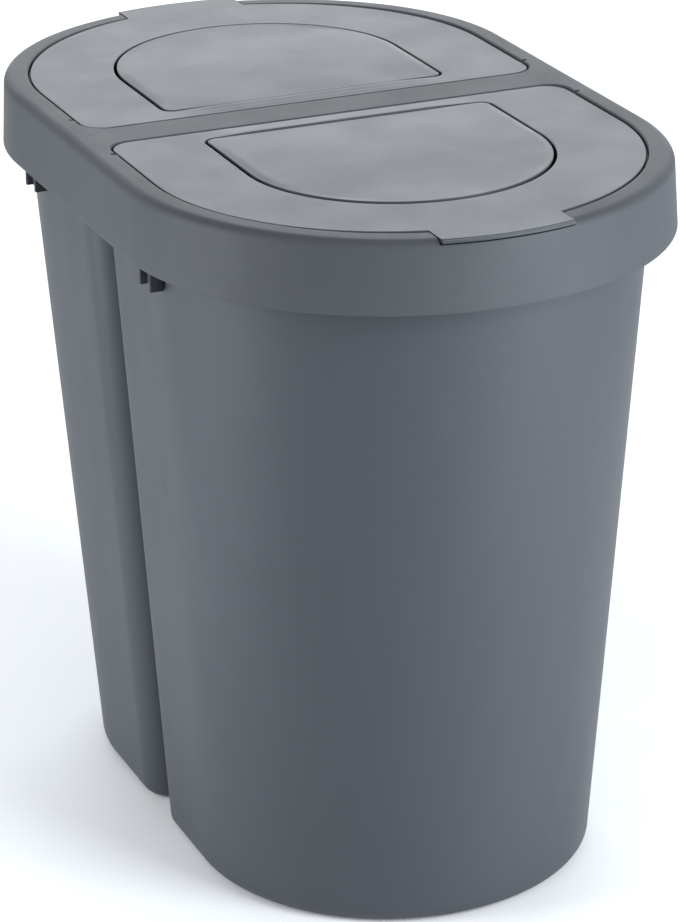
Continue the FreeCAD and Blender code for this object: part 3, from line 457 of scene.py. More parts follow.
# ------------------------------------------------------------------ meshes
class Shell:
    """Grids of points gathered into one mesh."""

    def __init__(self):
        self.points = []
        self.faces = []
        self.count = 0

    def add(self, grid, wrap_rows=False, wrap_columns=False, outwards=True):
        """Faces between neighbouring rows and columns; wrapping joins the last to the first."""
        rows, columns = grid.shape[:2]
        index = np.arange(rows * columns).reshape(rows, columns)
        if wrap_rows:
            index = np.vstack((index, index[:1]))
        if wrap_columns:
            index = np.hstack((index, index[:, :1]))
        faces = np.stack((index[:-1, :-1], index[1:, :-1], index[1:, 1:], index[:-1, 1:]), axis=-1)
        faces = faces.reshape(-1, 4)
        if not outwards:
            faces = faces[:, ::-1]
        self.points.append(grid.reshape(-1, 3))
        self.faces.append(faces + self.count)
        self.count += rows * columns
        return self

    def add_solid(self, grid, **wrapping):
        """A grid that closes by itself, with its faces turned outwards by its signed volume."""
        trial = Shell().add(grid, **wrapping)
        return self.add(grid, outwards=trial.signed_volume() > 0, **wrapping)

    def signed_volume(self):
        """Sum over triangles of a . (b x c) / 6, which is positive with faces outwards."""
        points, faces = np.concatenate(self.points), np.concatenate(self.faces)
        a, b, c, d = (points[faces[:, corner]] for corner in range(4))
        first = np.einsum("ij,ij->i", a, np.cross(b, c))
        second = np.einsum("ij,ij->i", a, np.cross(c, d))
        return (first + second).sum() / 6

    def turned(self, side):
        """The front half is the back half turned half round the middle of the bin."""
        self.points = [points * (side, side, 1) for points in self.points]
        return self

    def handed(self, hand):
        """The left hand is the right one mirrored in x, with its faces turned back outwards."""
        self.points = [points * (hand, 1, 1) for points in self.points]
        self.faces = [faces[:, ::hand] for faces in self.faces]
        return self

    def both_halves(self):
        """This shell and its copy on the other side of the bin."""
        points, faces = np.concatenate(self.points), np.concatenate(self.faces)
        self.points = [points, points * (-1, -1, 1)]
        self.faces = [faces, faces + len(points)]
        self.count = 2 * len(points)
        return self

    def mesh(self, name):
        """Welds points at the same place, drops faces that this closes up, and fills a mesh."""
        points, faces = np.concatenate(self.points), np.concatenate(self.faces)
        _, first, place = np.unique(np.round(points / WELD).astype(np.int64), axis=0,
                                    return_index=True, return_inverse=True)
        faces = place.reshape(-1)[faces]
        kept = faces != np.roll(faces, -1, axis=1)
        sides = kept.sum(axis=1)
        whole = sides >= 3
        loops, sides = faces[whole][kept[whole]], sides[whole]
        mesh = bpy.data.meshes.new(name)
        mesh.vertices.add(len(first))
        mesh.vertices.foreach_set("co", points[first].astype(np.float32).ravel())
        mesh.loops.add(len(loops))
        mesh.loops.foreach_set("vertex_index", loops.astype(np.int32))
        mesh.polygons.add(len(sides))
        starts = np.concatenate(([0], np.cumsum(sides)[:-1]))
        mesh.polygons.foreach_set("loop_start", starts.astype(np.int32))
        mesh.update(calc_edges=True)
        mesh.validate()
        mesh.shade_smooth()
        mesh.set_sharp_from_angle(angle=SHARP_ANGLE)
        return mesh

    def piece(self, name, body, slot, material, *nodes):
        """Makes the object, gives it its material and tells the frame what it rides on."""
        if self.signed_volume() <= 0:
            raise RuntimeError(f"{name} is inside out")
        made = bpy.data.objects.new(name, self.mesh(name))
        made.data.materials.append(material)
        bpy.context.scene.collection.objects.link(made)
        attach(made, body)
        if nodes:
            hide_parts(*nodes)
        return made


def capped(grid):
    """Adds the middle of the first and last row, so that a tube of rows closes at both ends."""
    ends = [np.repeat(row.mean(axis=0)[None, None], grid.shape[1], axis=1)
            for row in (grid[0], grid[-1])]
    return np.concatenate((ends[0], grid, ends[1]))


def rim_insets(edge):
    """Inset of the rows near both faces of a small part, edge x (1 - sin a), and edge x cos a."""
    cosine, sine = arc_rows(edge, 0, 90, EDGE_STEPS)
    return np.concatenate((edge - sine, (edge - sine)[::-1])), cosine


def rim_places(start, end, edge, cosine):
    """Places of those rows between both faces: edge x (1 - cos a) in from each of them."""
    return np.concatenate((start + edge - cosine, (end - edge + cosine)[::-1]))


def slab(outline, start, end, edge):
    """A plate across the bar: an outline in y and z carried along x, with rounded rims.

    The rows run from x = start to x = end; near each face the outline shrinks towards its middle
    by edge x (1 - sin a) while x moves by edge x (1 - cos a).
    """
    inset, cosine = rim_insets(edge)
    x = rim_places(start, end, edge, cosine)
    middle = outline.mean(axis=0)
    spread = outline - middle
    size = np.abs(spread).max()
    rows = middle + spread[None] * (1 - inset / size)[:, None, None]
    return capped(np.concatenate((x[:, None, None] + 0 * rows[..., :1], rows), axis=-1))


def rounded_box(low_corner, high_corner, edge, lean=0.0):
    """A block with rounded upright edges and rims; lean moves its -x face along x, foot to head.

    Each level is a rounded rectangle, and levels near the foot and head are smaller by
    edge x (1 - sin a) as the height moves by edge x (1 - cos a).
    """
    low_x, low_y, low_z = low_corner
    high_x, high_y, high_z = high_corner
    inset, cosine = rim_insets(edge)
    radius = (edge - inset)[:, None]
    z = rim_places(low_z, high_z, edge, cosine)[:, None]
    rise = (z - low_z) / (high_z - low_z)
    turn = np.radians(np.linspace(0, 90, EDGE_STEPS + 1)) + np.radians([[0], [90], [180], [270]])
    turn = turn.reshape(1, -1)
    quarter = np.repeat(np.arange(4), EDGE_STEPS + 1)[None]
    on_right, on_rear = np.isin(quarter, (0, 3)), np.isin(quarter, (0, 1))
    near_x = low_x + lean * rise
    x = np.where(on_right, high_x - edge, near_x + edge) + radius * np.cos(turn)
    y = np.where(on_rear, high_y - edge, low_y + edge) + radius * np.sin(turn)
    return capped(np.stack((x, y, z + 0 * x), axis=-1))


def round_bar(start, end, y, z, radius, edge):
    """A bar along x: circles of the radius, smaller at both ends by a rounded edge."""
    around = np.linspace(0, 2 * np.pi, ROD_SIDES, endpoint=False)
    return slab(np.stack((y + radius * np.cos(around), z + radius * np.sin(around)), axis=-1),
                start, end, edge)


def upright_posts(places, bottom, top, radius):
    """One grid for each upright post: a circle of the radius carried up from a smaller foot."""
    around = np.linspace(0, 2 * np.pi, POST_SIDES, endpoint=False)
    ring = np.stack((radius * np.cos(around), radius * np.sin(around)), axis=-1)
    levels = ((POST_TIP, bottom), (1, bottom + radius * (1 - POST_TIP)), (1, top))
    for place in places:
        rows = [np.column_stack((ring * part + place, np.full(len(around), height)))
                for part, height in levels]
        yield capped(np.stack(rows))


def band(reaches, bottom, top, centre, start, edge):
    """A rib along the straight sides and the round end.

    A rectangle with quarter circles of the edge radius at its corners, carried along x = reach,
    round (reach x cos a, centre + reach x sin a) and back along x = -reach.
    """
    inner, outer = reaches
    cosine, sine = arc_rows(edge, 0, 90, EDGE_STEPS)
    reach = np.concatenate((outer - edge + cosine, inner + edge - sine,
                            inner + edge - cosine, outer - edge + sine))
    height = np.concatenate((top - edge + sine, top - edge + cosine,
                             bottom + edge - sine, bottom + edge - cosine))
    angle = np.linspace(0, np.pi, 2 * ROUND_STEPS + 1)[None]
    reach = reach[:, None]
    side = (centre + (start - centre) * plain_stops())[None] + 0 * reach
    flank = reach + 0 * side
    x = np.hstack((flank, reach * np.cos(angle), -flank))
    y = np.hstack((side[:, ::-1], centre + reach * np.sin(angle), side))
    return capped(grid_of((x, y), height).swapaxes(0, 1)).swapaxes(0, 1)


# ------------------------------------------------------------------ materials
# Noise scales are in repeats to a metre; each range is what a texture's middle values spread over
NOISE_MIDDLE = (0.3, 0.7)
CLOUD_SCALE, CLOUD_RANGE = 9.0, (0.955, 1.045)
SPECK_SCALE, SPECK_RANGE = 420.0, (0.985, 1.015)
GLOSS_SCALE, GLOSS_SPREAD = 26.0, 0.03
GRAIN_SCALE, GRAIN_STRENGTH = 1500.0, 0.35
WAVE_SCALE, WAVE_STRENGTH, WAVE_DEPTH = 14.0, 0.25, 0.0006
BUCKET_FLOW = (1.0, 1.0, 0.35)          # the clouds of a bucket are drawn out upwards
# The gate mark is a small dimple; its shade is painted as darker rounds in the frame's colour
GATE_MARK = (0.162, 0.0045, 0.4903)     # on the frame, at both ends of the bar
MARK_EDGES, MARK_SHADE = (0.0008, 0.0015), 0.45     # dark within the first, plain past the other
DRAWN_FLOW = (0.05, 1.0, 1.0)           # scratches along x
SCRATCH_SCALE, SCRATCH_RANGE = 900.0, (0.85, 1.1)
DRAWN_SCALE, DRAWN_ROUGHNESS = 1400.0, (0.22, 0.38)
FLOOR_CLOUD_SCALE, FLOOR_CLOUD_RANGE, FLOOR_ROUGHNESS = 3.0, (0.99, 1.01), 0.9


def node(tree, kind, inputs=None, **settings_of):
    """A new node with its settings and the values of its sockets."""
    made = tree.nodes.new(kind)
    for name, value in settings_of.items():
        setattr(made, name, value)
    for name, value in (inputs or {}).items():
        made.inputs[name].default_value = value
    return made


def stretch_of(tree, coordinates, scale):
    """Object coordinates times a scale along each axis."""
    mapping = node(tree, "ShaderNodeMapping", {"Scale": scale})
    tree.links.new(coordinates, mapping.inputs["Vector"])
    return mapping.outputs["Vector"]


def noise(tree, vector, scale, detail=2.0, roughness=0.5):
    """A cloudy value around 0.5."""
    made = node(tree, "ShaderNodeTexNoise",
                {"Scale": scale, "Detail": detail, "Roughness": roughness})
    tree.links.new(vector, made.inputs["Vector"])
    return made.outputs["Fac"]


def remap(tree, value, wanted, given=NOISE_MIDDLE):
    """A value's given range spread over the wanted one, and cut off at its ends."""
    made = node(tree, "ShaderNodeMapRange", {"From Min": given[0], "From Max": given[1],
                                             "To Min": wanted[0], "To Max": wanted[1]})
    tree.links.new(value, made.inputs["Value"])
    return made.outputs["Result"]


def gate_dimple_painted_shade(tree, place, spot):
    """A factor that is 1 but for small darker rounds, painted shade of a dimple, at a spot and at
    its mirror image in x.
    """
    apart = node(tree, "ShaderNodeSeparateXYZ")
    tree.links.new(place, apart.inputs[0])
    one_sided = node(tree, "ShaderNodeMath", operation="ABSOLUTE")
    tree.links.new(apart.outputs["X"], one_sided.inputs[0])
    joined = node(tree, "ShaderNodeCombineXYZ")
    tree.links.new(one_sided.outputs[0], joined.inputs["X"])
    for axis in "YZ":
        tree.links.new(apart.outputs[axis], joined.inputs[axis])
    away = node(tree, "ShaderNodeVectorMath", operation="DISTANCE")
    tree.links.new(joined.outputs[0], away.inputs[0])
    away.inputs[1].default_value = spot
    return remap(tree, away.outputs["Value"], (MARK_SHADE, 1.0), MARK_EDGES)


def multiplied(tree, *values):
    """The product of several values."""
    product = values[0]
    for value in values[1:]:
        made = node(tree, "ShaderNodeMath", operation="MULTIPLY")
        tree.links.new(product, made.inputs[0])
        tree.links.new(value, made.inputs[1])
        product = made.outputs[0]
    return product


def blank_material(name):
    """A new material, its node tree, its shader and the Object coordinates."""
    material = bpy.data.materials.new(name)
    material.use_nodes = True
    tree = material.node_tree
    place = node(tree, "ShaderNodeTexCoord").outputs["Object"]
    return material, tree, tree.nodes["Principled BSDF"], place


def shade_colour(tree, shader, base, factor):
    """The base colour times a factor that varies over the surface."""
    tint = node(tree, "ShaderNodeVectorMath", operation="SCALE")
    tint.inputs[0].default_value = base
    tree.links.new(factor, tint.inputs["Scale"])
    tree.links.new(tint.outputs[0], shader.inputs["Base Color"])


def moulded_plastic(name, base, roughness, shine, grain, flow=(1.0, 1.0, 1.0), spot=None):
    """Satin moulded plastic: clouded colour, uneven gloss, a fine eroded grain and faint sinks.

    flow stretches the cloudiness along the way that the plastic ran in the mould; spot is where
    the plastic entered the mould, a small dimple whose shade is painted as small darker rounds.
    """
    material, tree, shader, place = blank_material(name)
    drift = stretch_of(tree, place, flow)

    shade = remap(tree, noise(tree, drift, CLOUD_SCALE, detail=3.0), CLOUD_RANGE)
    speck = remap(tree, noise(tree, place, SPECK_SCALE), SPECK_RANGE)
    # Painted shade of the gate dimple: darker rounds multiplied into the colour
    marks = [gate_dimple_painted_shade(tree, place, spot)] if spot else []
    shade_colour(tree, shader, base, multiplied(tree, shade, speck, *marks))

    gloss = remap(tree, noise(tree, drift, GLOSS_SCALE, detail=4.0, roughness=0.6),
                  (roughness - GLOSS_SPREAD, roughness + GLOSS_SPREAD))
    tree.links.new(gloss, shader.inputs["Roughness"])

    fine = noise(tree, place, GRAIN_SCALE, detail=3.0, roughness=0.6)
    bump = node(tree, "ShaderNodeBump", {"Strength": GRAIN_STRENGTH, "Distance": grain})
    tree.links.new(fine, bump.inputs["Height"])
    wave = noise(tree, drift, WAVE_SCALE, detail=1.0)
    sink = node(tree, "ShaderNodeBump", {"Strength": WAVE_STRENGTH, "Distance": WAVE_DEPTH})
    tree.links.new(wave, sink.inputs["Height"])
    tree.links.new(bump.outputs["Normal"], sink.inputs["Normal"])
    tree.links.new(sink.outputs["Normal"], shader.inputs["Normal"])
    shader.inputs["Specular IOR Level"].default_value = shine
    return material


def drawn_steel(name, base):
    """Drawn steel wire: bright metal with fine scratches along x."""
    material, tree, shader, place = blank_material(name)
    streak = stretch_of(tree, place, DRAWN_FLOW)
    shade = remap(tree, noise(tree, streak, SCRATCH_SCALE, detail=3.0), SCRATCH_RANGE)
    shade_colour(tree, shader, base, shade)
    rough = remap(tree, noise(tree, streak, DRAWN_SCALE), DRAWN_ROUGHNESS)
    tree.links.new(rough, shader.inputs["Roughness"])
    shader.inputs["Metallic"].default_value = 1.0
    return material


def studio_floor(name, base):
    """A pale, faintly clouded matt surface."""
    material, tree, shader, place = blank_material(name)
    shade = remap(tree, noise(tree, place, FLOOR_CLOUD_SCALE), FLOOR_CLOUD_RANGE)
    shade_colour(tree, shader, base, shade)
    shader.inputs["Roughness"].default_value = FLOOR_ROUGHNESS
    return material


def material_of(name, make, *values, **options):
    """The material of that name, made the first time that it is asked for."""
    return bpy.data.materials.get(name) or make(name, *values, **options)


def bucket_plastic():
    """Satin grey of the buckets."""
    look = settings("finish")
    return material_of("bucket_satin", moulded_plastic, look.bucket_colour, look.shell_roughness,
                       look.shell_shine, look.grain, flow=BUCKET_FLOW)


def frame_plastic():
    """Duller grey of the lid frame, with the mould's gate marks, their dimples drawn as painted
    shade.
    """
    look = settings("finish")
    return material_of("frame_satin", moulded_plastic, look.frame_colour, look.frame_roughness,
                       look.frame_shine, look.grain, spot=GATE_MARK)


def lid_plastic():
    """Smoother grey of the lids and push flaps."""
    look = settings("finish")
    return material_of("lid_satin", moulded_plastic, look.lid_colour, look.lid_roughness,
                       look.lid_shine, look.grain)


def lug_plastic():
    """Grey of the lugs, darkened to paint the shade that falls on them under the frame's skirt."""
    look = settings("finish")
    return material_of("lug_dark", moulded_plastic, look.lug_painted_shade_colour, look.shell_roughness,
                       look.shell_shine, look.grain)


def steel():
    """Bright steel of rods and springs."""
    return material_of("rod_steel_drawn", drawn_steel, settings("finish").steel_colour)


# ------------------------------------------------------------------ pieces
def bucket_grid(size):
    """A tub in one closed grid: inside floor, inside wall, flange, outside wall, foot, underside.

    At a height z the outer wall is base + (rim - base) x z / rim height, moved in by an inset.
    The turns at the floor are quarter circles, and both floors close in their middle.
    """
    rim = Half(size.rim_reach, size.rim_centre, size.rim_flat, size.rim_corner)
    base = Half(size.base_reach, size.base_centre, size.base_flat, size.base_corner)
    step = size.flange_reach - size.rim_reach
    flange = Half(size.flange_reach, size.rim_centre, size.flange_parting, size.rim_corner + step)

    def wall_rows(height, inset):
        """Outlines of the leaning wall at some heights, moved in."""
        return grown(mixed(base, rim, height / size.rim_height), -inset)

    edge = size.flange_thickness / 3
    inner_turn = size.base_round - size.wall
    cosine, sine = arc_rows(1.0, 0, 90, TURN_STEPS)
    lift = np.linspace(size.floor + inner_turn, size.rim_height - edge, INSIDE_ROWS)[1:]
    rim_cosine, rim_sine = arc_rows(edge, 0, 90)
    inner_height = np.concatenate((size.floor + inner_turn * (1 - cosine), lift,
                                   size.rim_height - edge + rim_sine[1:]))
    inner_inset = np.concatenate((size.wall + inner_turn * (1 - sine), size.wall + 0 * lift,
                                  size.wall - edge + rim_cosine[1:]))
    inner = wall_rows(inner_height, inner_inset)

    over = mixed(grown(rim, edge - size.wall), grown(flange, -edge),
                 np.linspace(0, 1, FLANGE_ROWS + 1)[1:])
    top_cosine, top_sine = arc_rows(edge, 90, 0)
    low_cosine, low_sine = arc_rows(edge, 0, -90)
    lip = grown(flange, np.concatenate((top_cosine, low_cosine)) - edge)
    lip_height = np.concatenate((size.rim_height - edge + top_sine,
                                 size.rim_height - size.flange_thickness + edge + low_sine))
    under = mixed(grown(flange, -edge), grown(rim, edge), np.linspace(0, 1, UNDER_ROWS + 1)[1:])
    under_height = np.full(UNDER_ROWS, size.rim_height - size.flange_thickness)

    fall = np.linspace(size.rim_height - size.flange_thickness - edge, size.base_round,
                       OUTSIDE_ROWS)
    outer_height = np.concatenate((fall, size.base_round * (1 - cosine[::-1][1:])))
    outer_inset = np.concatenate((0 * fall, size.base_round * (1 - sine[::-1][1:])))
    outer = wall_rows(outer_height, outer_inset)
    foot_inset = size.base_round + np.array([size.foot_width, size.foot_width + size.foot_depth])
    foot = grown(base, -np.minimum(foot_inset, size.base_corner - size.foot_depth))
    foot_height = np.array([0, size.foot_depth])

    rows = stacked(inner, over, lip, under, outer, foot)
    height = np.concatenate((inner_height, np.full(FLANGE_ROWS, size.rim_height), lip_height,
                             under_height, outer_height, foot_height))
    lid = settings("lid")
    grid = grid_of(half_outline(rows, lid.tab_half, lid.hood_run, plain_stops()), height)
    inside = shrunk(grid[0], FLOOR_PARTS)
    underside = shrunk(grid[-1], UNDERSIDE_PARTS)
    return np.concatenate((inside, grid, underside))


def opening_half(size):
    """Outline of a lid opening in the frame."""
    return Half(size.opening_reach, size.centre, size.bar_half, size.opening_corner)


def socket_stops(size):
    """Places down a straight side, doubled at both faces of the hinge socket's slot."""
    foot = size.bar_half + size.opening_corner
    run = size.centre - foot
    faces = [(size.centre - size.socket_reach - way * size.socket_width / 2) / run
             for way in (1, -1)]
    return np.concatenate((np.linspace(0, faces[0], SIDE_STEPS + 1),
                           np.linspace(*faces, SLOT_STOPS), np.linspace(faces[1], 1, SLOT_STOPS)))


def slot_columns(kinds):
    """True for the columns across the slots of the hinge sockets, one on each straight side."""
    slot = np.zeros(len(kinds), bool)
    for kind, way in (("left side", 1), ("right side", -1)):
        downwards = np.flatnonzero(kinds == kind)[::way]
        slot[downwards[SIDE_STEPS + 1:SIDE_STEPS + 1 + SLOT_STOPS]] = True
    return slot


def cut_down(grid, where, floor):
    """Lowers the points of some columns to a floor: z becomes the smaller of z and the floor."""
    grid[..., 2] = np.where(where, np.minimum(grid[..., 2], floor), grid[..., 2])
    return grid


def eased(part):
    """A smooth step: 3 t^2 - 2 t^3 with t kept between 0 and 1."""
    part = np.clip(part, 0, 1)
    return part * part * (3 - 2 * part)


def dip_bar(grid, size):
    """Lowers the bar between the rims: the dip times a smooth step along x, y and up the wall."""
    x, y, z = np.abs(grid[..., 0]), np.abs(grid[..., 1]), grid[..., 2]
    foot = size.ledge_top - size.wall
    along = eased((size.opening_reach - x) / size.bar_ease)
    across = eased((size.bar_half + size.opening_corner + size.bar_ease / 2 - y) / size.bar_ease)
    grid[..., 2] -= size.bar_dip * along * across * np.clip((z - foot) / (size.top - foot), 0, 1)


def dip_rim(grid, size):
    """Sinks the round ends towards the tabs: the dip times (y - centre) / reach, cubed."""
    y, z = grid[..., 1], grid[..., 2]
    way = np.clip((y - size.centre) / size.opening_reach, 0, 1)
    foot = size.ledge_top - size.wall
    grid[..., 2] -= size.tab_dip * way ** 3 * np.clip((z - foot) / (size.top - foot), 0, 1)


def skirt_profile(size):
    """Reach and height of the skirt's rows, outside from shoulder to hem and inside back up.

    Shoulder and hem are quarter circles; between them the reach grows evenly by the draft, from
    the shoulder's to the hem's.
    """
    side = size.shoulder_round
    plate_reach = size.shoulder_reach - side
    draft = size.hem_reach - size.shoulder_reach
    hem = size.wall / 3
    fall = np.linspace(0, 1, SKIRT_ROWS)[1:-1]
    shoulder_x, shoulder_z = arc_rows(side, 90, 0, SHOULDER_STEPS)
    hem_x, hem_z = arc_rows(hem, 0, -90, HEM_STEPS)
    back_x, back_z = arc_rows(hem, 270, 180, HEM_STEPS)
    inner_x, inner_z = arc_rows(side - size.wall, 0, 90, TURN_STEPS)
    outer_reach = np.concatenate((plate_reach + shoulder_x, size.shoulder_reach + draft * fall,
                                  size.hem_reach - hem + hem_x))
    outer_height = np.concatenate((size.top - side + shoulder_z,
                                   size.top - side + (size.hem_height - size.top + side) * fall,
                                   size.hem_height + hem + hem_z))
    inner_reach = np.concatenate((size.hem_reach - size.wall + hem + back_x,
                                  size.hem_reach - size.wall - draft * fall,
                                  plate_reach + inner_x))
    inner_height = np.concatenate((size.hem_height + hem + back_z,
                                   size.hem_height + (size.top - side - size.hem_height) * fall,
                                   size.top - side + inner_z))
    return (outer_reach, outer_height), (inner_reach, inner_height)


def skirt_columns(kinds):
    """The columns that the skirt keeps: all but those under the bar, from right to left."""
    middle = CORNER_STEPS // 2
    right_start = np.flatnonzero(kinds == "right corner")[-1] - middle
    left_end = np.flatnonzero(kinds == "left corner")[0] + middle
    return np.concatenate((np.arange(right_start, len(kinds)), np.arange(left_end + 1)))


def frame_grids(size):
    """The frame's half: plate with its opening, skirt and hem, and the plate's underside.

    The opening's rows are the opening's outline moved out by a distance; the skirt's rows are
    the frame's outline at a reach; both use the same columns, so they meet point on point.
    """
    opening = opening_half(size)
    stops = socket_stops(size)
    hood = settings("lid").hood_run
    kinds = column_kinds(stops)
    tab = size.notch_half
    plate_reach = size.shoulder_reach - size.shoulder_round
    plate_bottom = size.top - size.wall
    ledge_bottom = size.ledge_top - size.wall

    def opening_rows(distance, height):
        """Rows that follow the opening at a distance from it."""
        return grid_of(half_outline(grown(opening, distance), tab, hood, stops), height)

    def frame_rows(reach, height):
        """Rows that follow the frame's own outline at a reach."""
        return grid_of(frame_outline(reach, opening, tab, hood, stops), height)

    # Up the opening's wall, over its rounded edge and past the slots to the shoulder
    edge = size.opening_round
    cosine, sine = arc_rows(edge, 180, 90)
    past_edge = [edge * PLATE_START, size.socket_depth, size.socket_depth]
    top = np.concatenate((
        opening_rows(np.concatenate(([0], edge + cosine, past_edge)),
                     np.concatenate(([ledge_bottom], size.top - edge + sine,
                                     [size.top] * len(past_edge)))),
        frame_rows([plate_reach], [size.top])))

    outside, inside = (frame_rows(*profile) for profile in skirt_profile(size))

    # Back under the plate, down the pockets behind the slots, and to the foot of the opening
    pocket = size.socket_depth + size.wall / 2
    bottom = np.concatenate((
        frame_rows([plate_reach], [plate_bottom]),
        opening_rows([pocket, pocket, size.wall, size.wall, 0],
                     [plate_bottom, plate_bottom, plate_bottom, ledge_bottom, ledge_bottom])))

    for rows in (top, bottom):
        dip_bar(rows, size)
    for rows in (top, outside, inside, bottom):
        dip_rim(rows, size)
    notch = (kinds == "tab")[None]
    for rows, floor in ((top, size.ledge_top), (outside, size.ledge_top),
                        (inside, ledge_bottom), (bottom, ledge_bottom)):
        cut_down(rows, notch, floor)
    # The slots take the rows within the socket's depth, and those of the pockets' inner walls
    slot = slot_columns(kinds)[None]
    within = (np.arange(len(top)) < len(top) - 2)[:, None]
    cut_down(top, slot & within, size.socket_floor)
    below = (np.arange(len(bottom)) >= 2)[:, None]
    cut_down(bottom, slot & below, size.socket_floor - size.wall / 2)
    return top, np.concatenate((outside, inside))[:, skirt_columns(kinds)], bottom


def rim_posts(size):
    """Places of the posts on a bucket's rim: round its end, beside its sides and under the bar."""
    bucket = settings("bucket")
    ring = (bucket.rim_reach + bucket.flange_reach) / 2
    angles = np.radians(POST_ANGLES)
    end = np.column_stack((ring * np.cos(angles), size.centre + ring * np.sin(angles)))
    beside = np.array([[ring, POST_BESIDE], [-ring, POST_BESIDE]])
    along = np.column_stack((POST_ALONG, np.full(len(POST_ALONG), POST_BAR)))
    return np.concatenate((end, beside, along))


def lid_lift(size, x, y):
    """Height of the hood over the plate: a slope away from the bar, with eased ends along it.

    With t from 0 at the slope's foot to 1 at its crest, the slope is t + swell x sin(2 pi t).
    """
    slope = np.clip((y - size.hood_start) / (size.hood_crest - size.hood_start), 0, 1)
    across = slope + HOOD_SWELL * np.sin(2 * np.pi * slope)
    ends = eased((size.hood_half - np.abs(x)) / size.hood_fade)
    return (size.hood_top - size.top) * across * ends


def lid_grid(size):
    """A lid in one grid that closes both ways: window wall, plate, edge and underside.

    Plate rows go straight from the window's outline to the lid's own; the finger tab is one
    more run of rows that only its own columns follow, at their own x, out to the tab's reach.
    """
    flap = settings("flap")
    centre = settings("frame").centre
    window = Half(flap.reach + size.window_gap, flap.centre, size.hood_end, size.window_corner)
    outline = Half(size.reach, centre, size.flat, size.corner)
    edge = size.edge_round
    bottom = size.top - size.thickness
    stops = plain_stops()
    kinds = column_kinds(stops)
    tab_columns = (kinds == "tab")[None, :, None]

    def rows_of(half):
        """Rows of x and y in the lid's columns."""
        return half_outline(half, size.tab_half, size.hood_run, stops)

    cosine, sine = arc_rows(edge, 180, 90)
    window_rows = grown(window, edge + cosine)
    window_height = size.top - edge + sine
    # Rows of the plate, closer together beside the window and the edge
    shares = np.concatenate(([0.006, 0.03], np.linspace(0.07, 0.93, PLATE_ROWS), [0.97, 0.994]))
    plate = mixed(grown(window, edge), grown(outline, -edge), shares)
    top = grid_of(rows_of(stacked(window_rows, plate, grown(outline, -edge))),
                  np.concatenate((window_height, np.full(len(shares) + 1, size.top))))
    beside_bar = np.isin(kinds, ("left corner", "bar", "right corner"))[None]
    top[..., 2] += np.where(beside_bar, lid_lift(size, top[..., 0], top[..., 1]), 0)

    # The tab's top: a slope down by its drop, the groove's two sides, and the lip
    drop, groove = size.tab_drop, size.tab_groove
    lip = size.tab_reach - size.tab_lip
    tab_reach = np.array([size.tab_reach - 8 * drop, lip - 4 * groove, lip - groove,
                          lip - groove / 2, lip, lip + groove / 2])
    tab_height = size.top - np.array([0, drop, drop, drop + groove, drop, drop])
    tab_halves = grown(outline, 0 * tab_reach)._replace(reach=tab_reach)
    stay = np.repeat(top[-1:], len(tab_reach), axis=0)
    tab_top = np.where(tab_columns, grid_of(rows_of(tab_halves), tab_height), stay)

    # Down the edge: a quarter circle and an upright face, smaller and lower at the tab
    cosine, sine = arc_rows(edge, 90, 0)
    turn_in, turn_down = cosine[1:] - edge, sine[1:] - edge
    plain_inset = np.concatenate((turn_in, [0, -edge, -edge, -edge]))
    plain_level = np.concatenate((size.top + turn_down, [bottom + edge, bottom, bottom, bottom]))
    plain_rim = grid_of(rows_of(grown(outline, plain_inset)), plain_level)
    corner = groove / edge
    foot = size.tab_reach - size.reach
    tab_inset = np.concatenate((turn_in * corner,
                                [0, -groove, 4 * groove - foot, 2 * groove - foot]))
    tab_foot = size.tab_bottom
    tab_level = np.concatenate((size.top - drop + turn_down * corner,
                                [tab_foot + groove, tab_foot, tab_foot, bottom]))
    tab_outline = outline._replace(reach=size.tab_reach)
    tab_rim = grid_of(rows_of(grown(tab_outline, tab_inset)), tab_level)
    rim = np.where(tab_columns, tab_rim, plain_rim)

    back = np.linspace(1, 0, UNDER_PLATE_ROWS)
    under = mixed(grown(window, edge), grown(outline, -edge), back)
    below = grid_of(rows_of(stacked(under, window)), np.full(len(back) + 1, bottom))
    return np.concatenate((top, tab_top, rim, below))


def eye_outline(axis_y, axis_z, radius, back):
    """Side view of an ear: a half circle in front of the rod's axis and a block behind it."""
    cosine, sine = arc_rows(radius, -90, 90, EYE_STEPS)
    front = np.column_stack((axis_y + cosine, axis_z + sine))
    rear = np.linspace(axis_y, back, BLOCK_POINTS + 1)[1:]
    upper, lower = np.full(BLOCK_POINTS, axis_z + radius), np.full(BLOCK_POINTS, axis_z - radius)
    return np.concatenate((front, np.column_stack((rear, upper)),
                           np.column_stack((rear[::-1], lower))))


def knuckle_outline(axis_y, axis_z, radius, top):
    """Side view of a knuckle: a half circle below the rod's axis and a block above it."""
    cosine, sine = arc_rows(radius, 180, 360, EYE_STEPS)
    below = np.column_stack((axis_y + cosine, axis_z + sine))
    rise = np.linspace(axis_z, top, STEM_POINTS + 1)[1:]
    far, near = np.full(STEM_POINTS, axis_y + radius), np.full(STEM_POINTS, axis_y - radius)
    return np.concatenate((below, np.column_stack((far, rise)),
                           np.column_stack((near, rise[::-1]))))


def spring_seat():
    """Height of the underside of the stops, just over the spring's legs."""
    ware = settings("hardware")
    return ware.rod_height - ware.coil_radius + ware.wire_radius + SPRING_PLAY


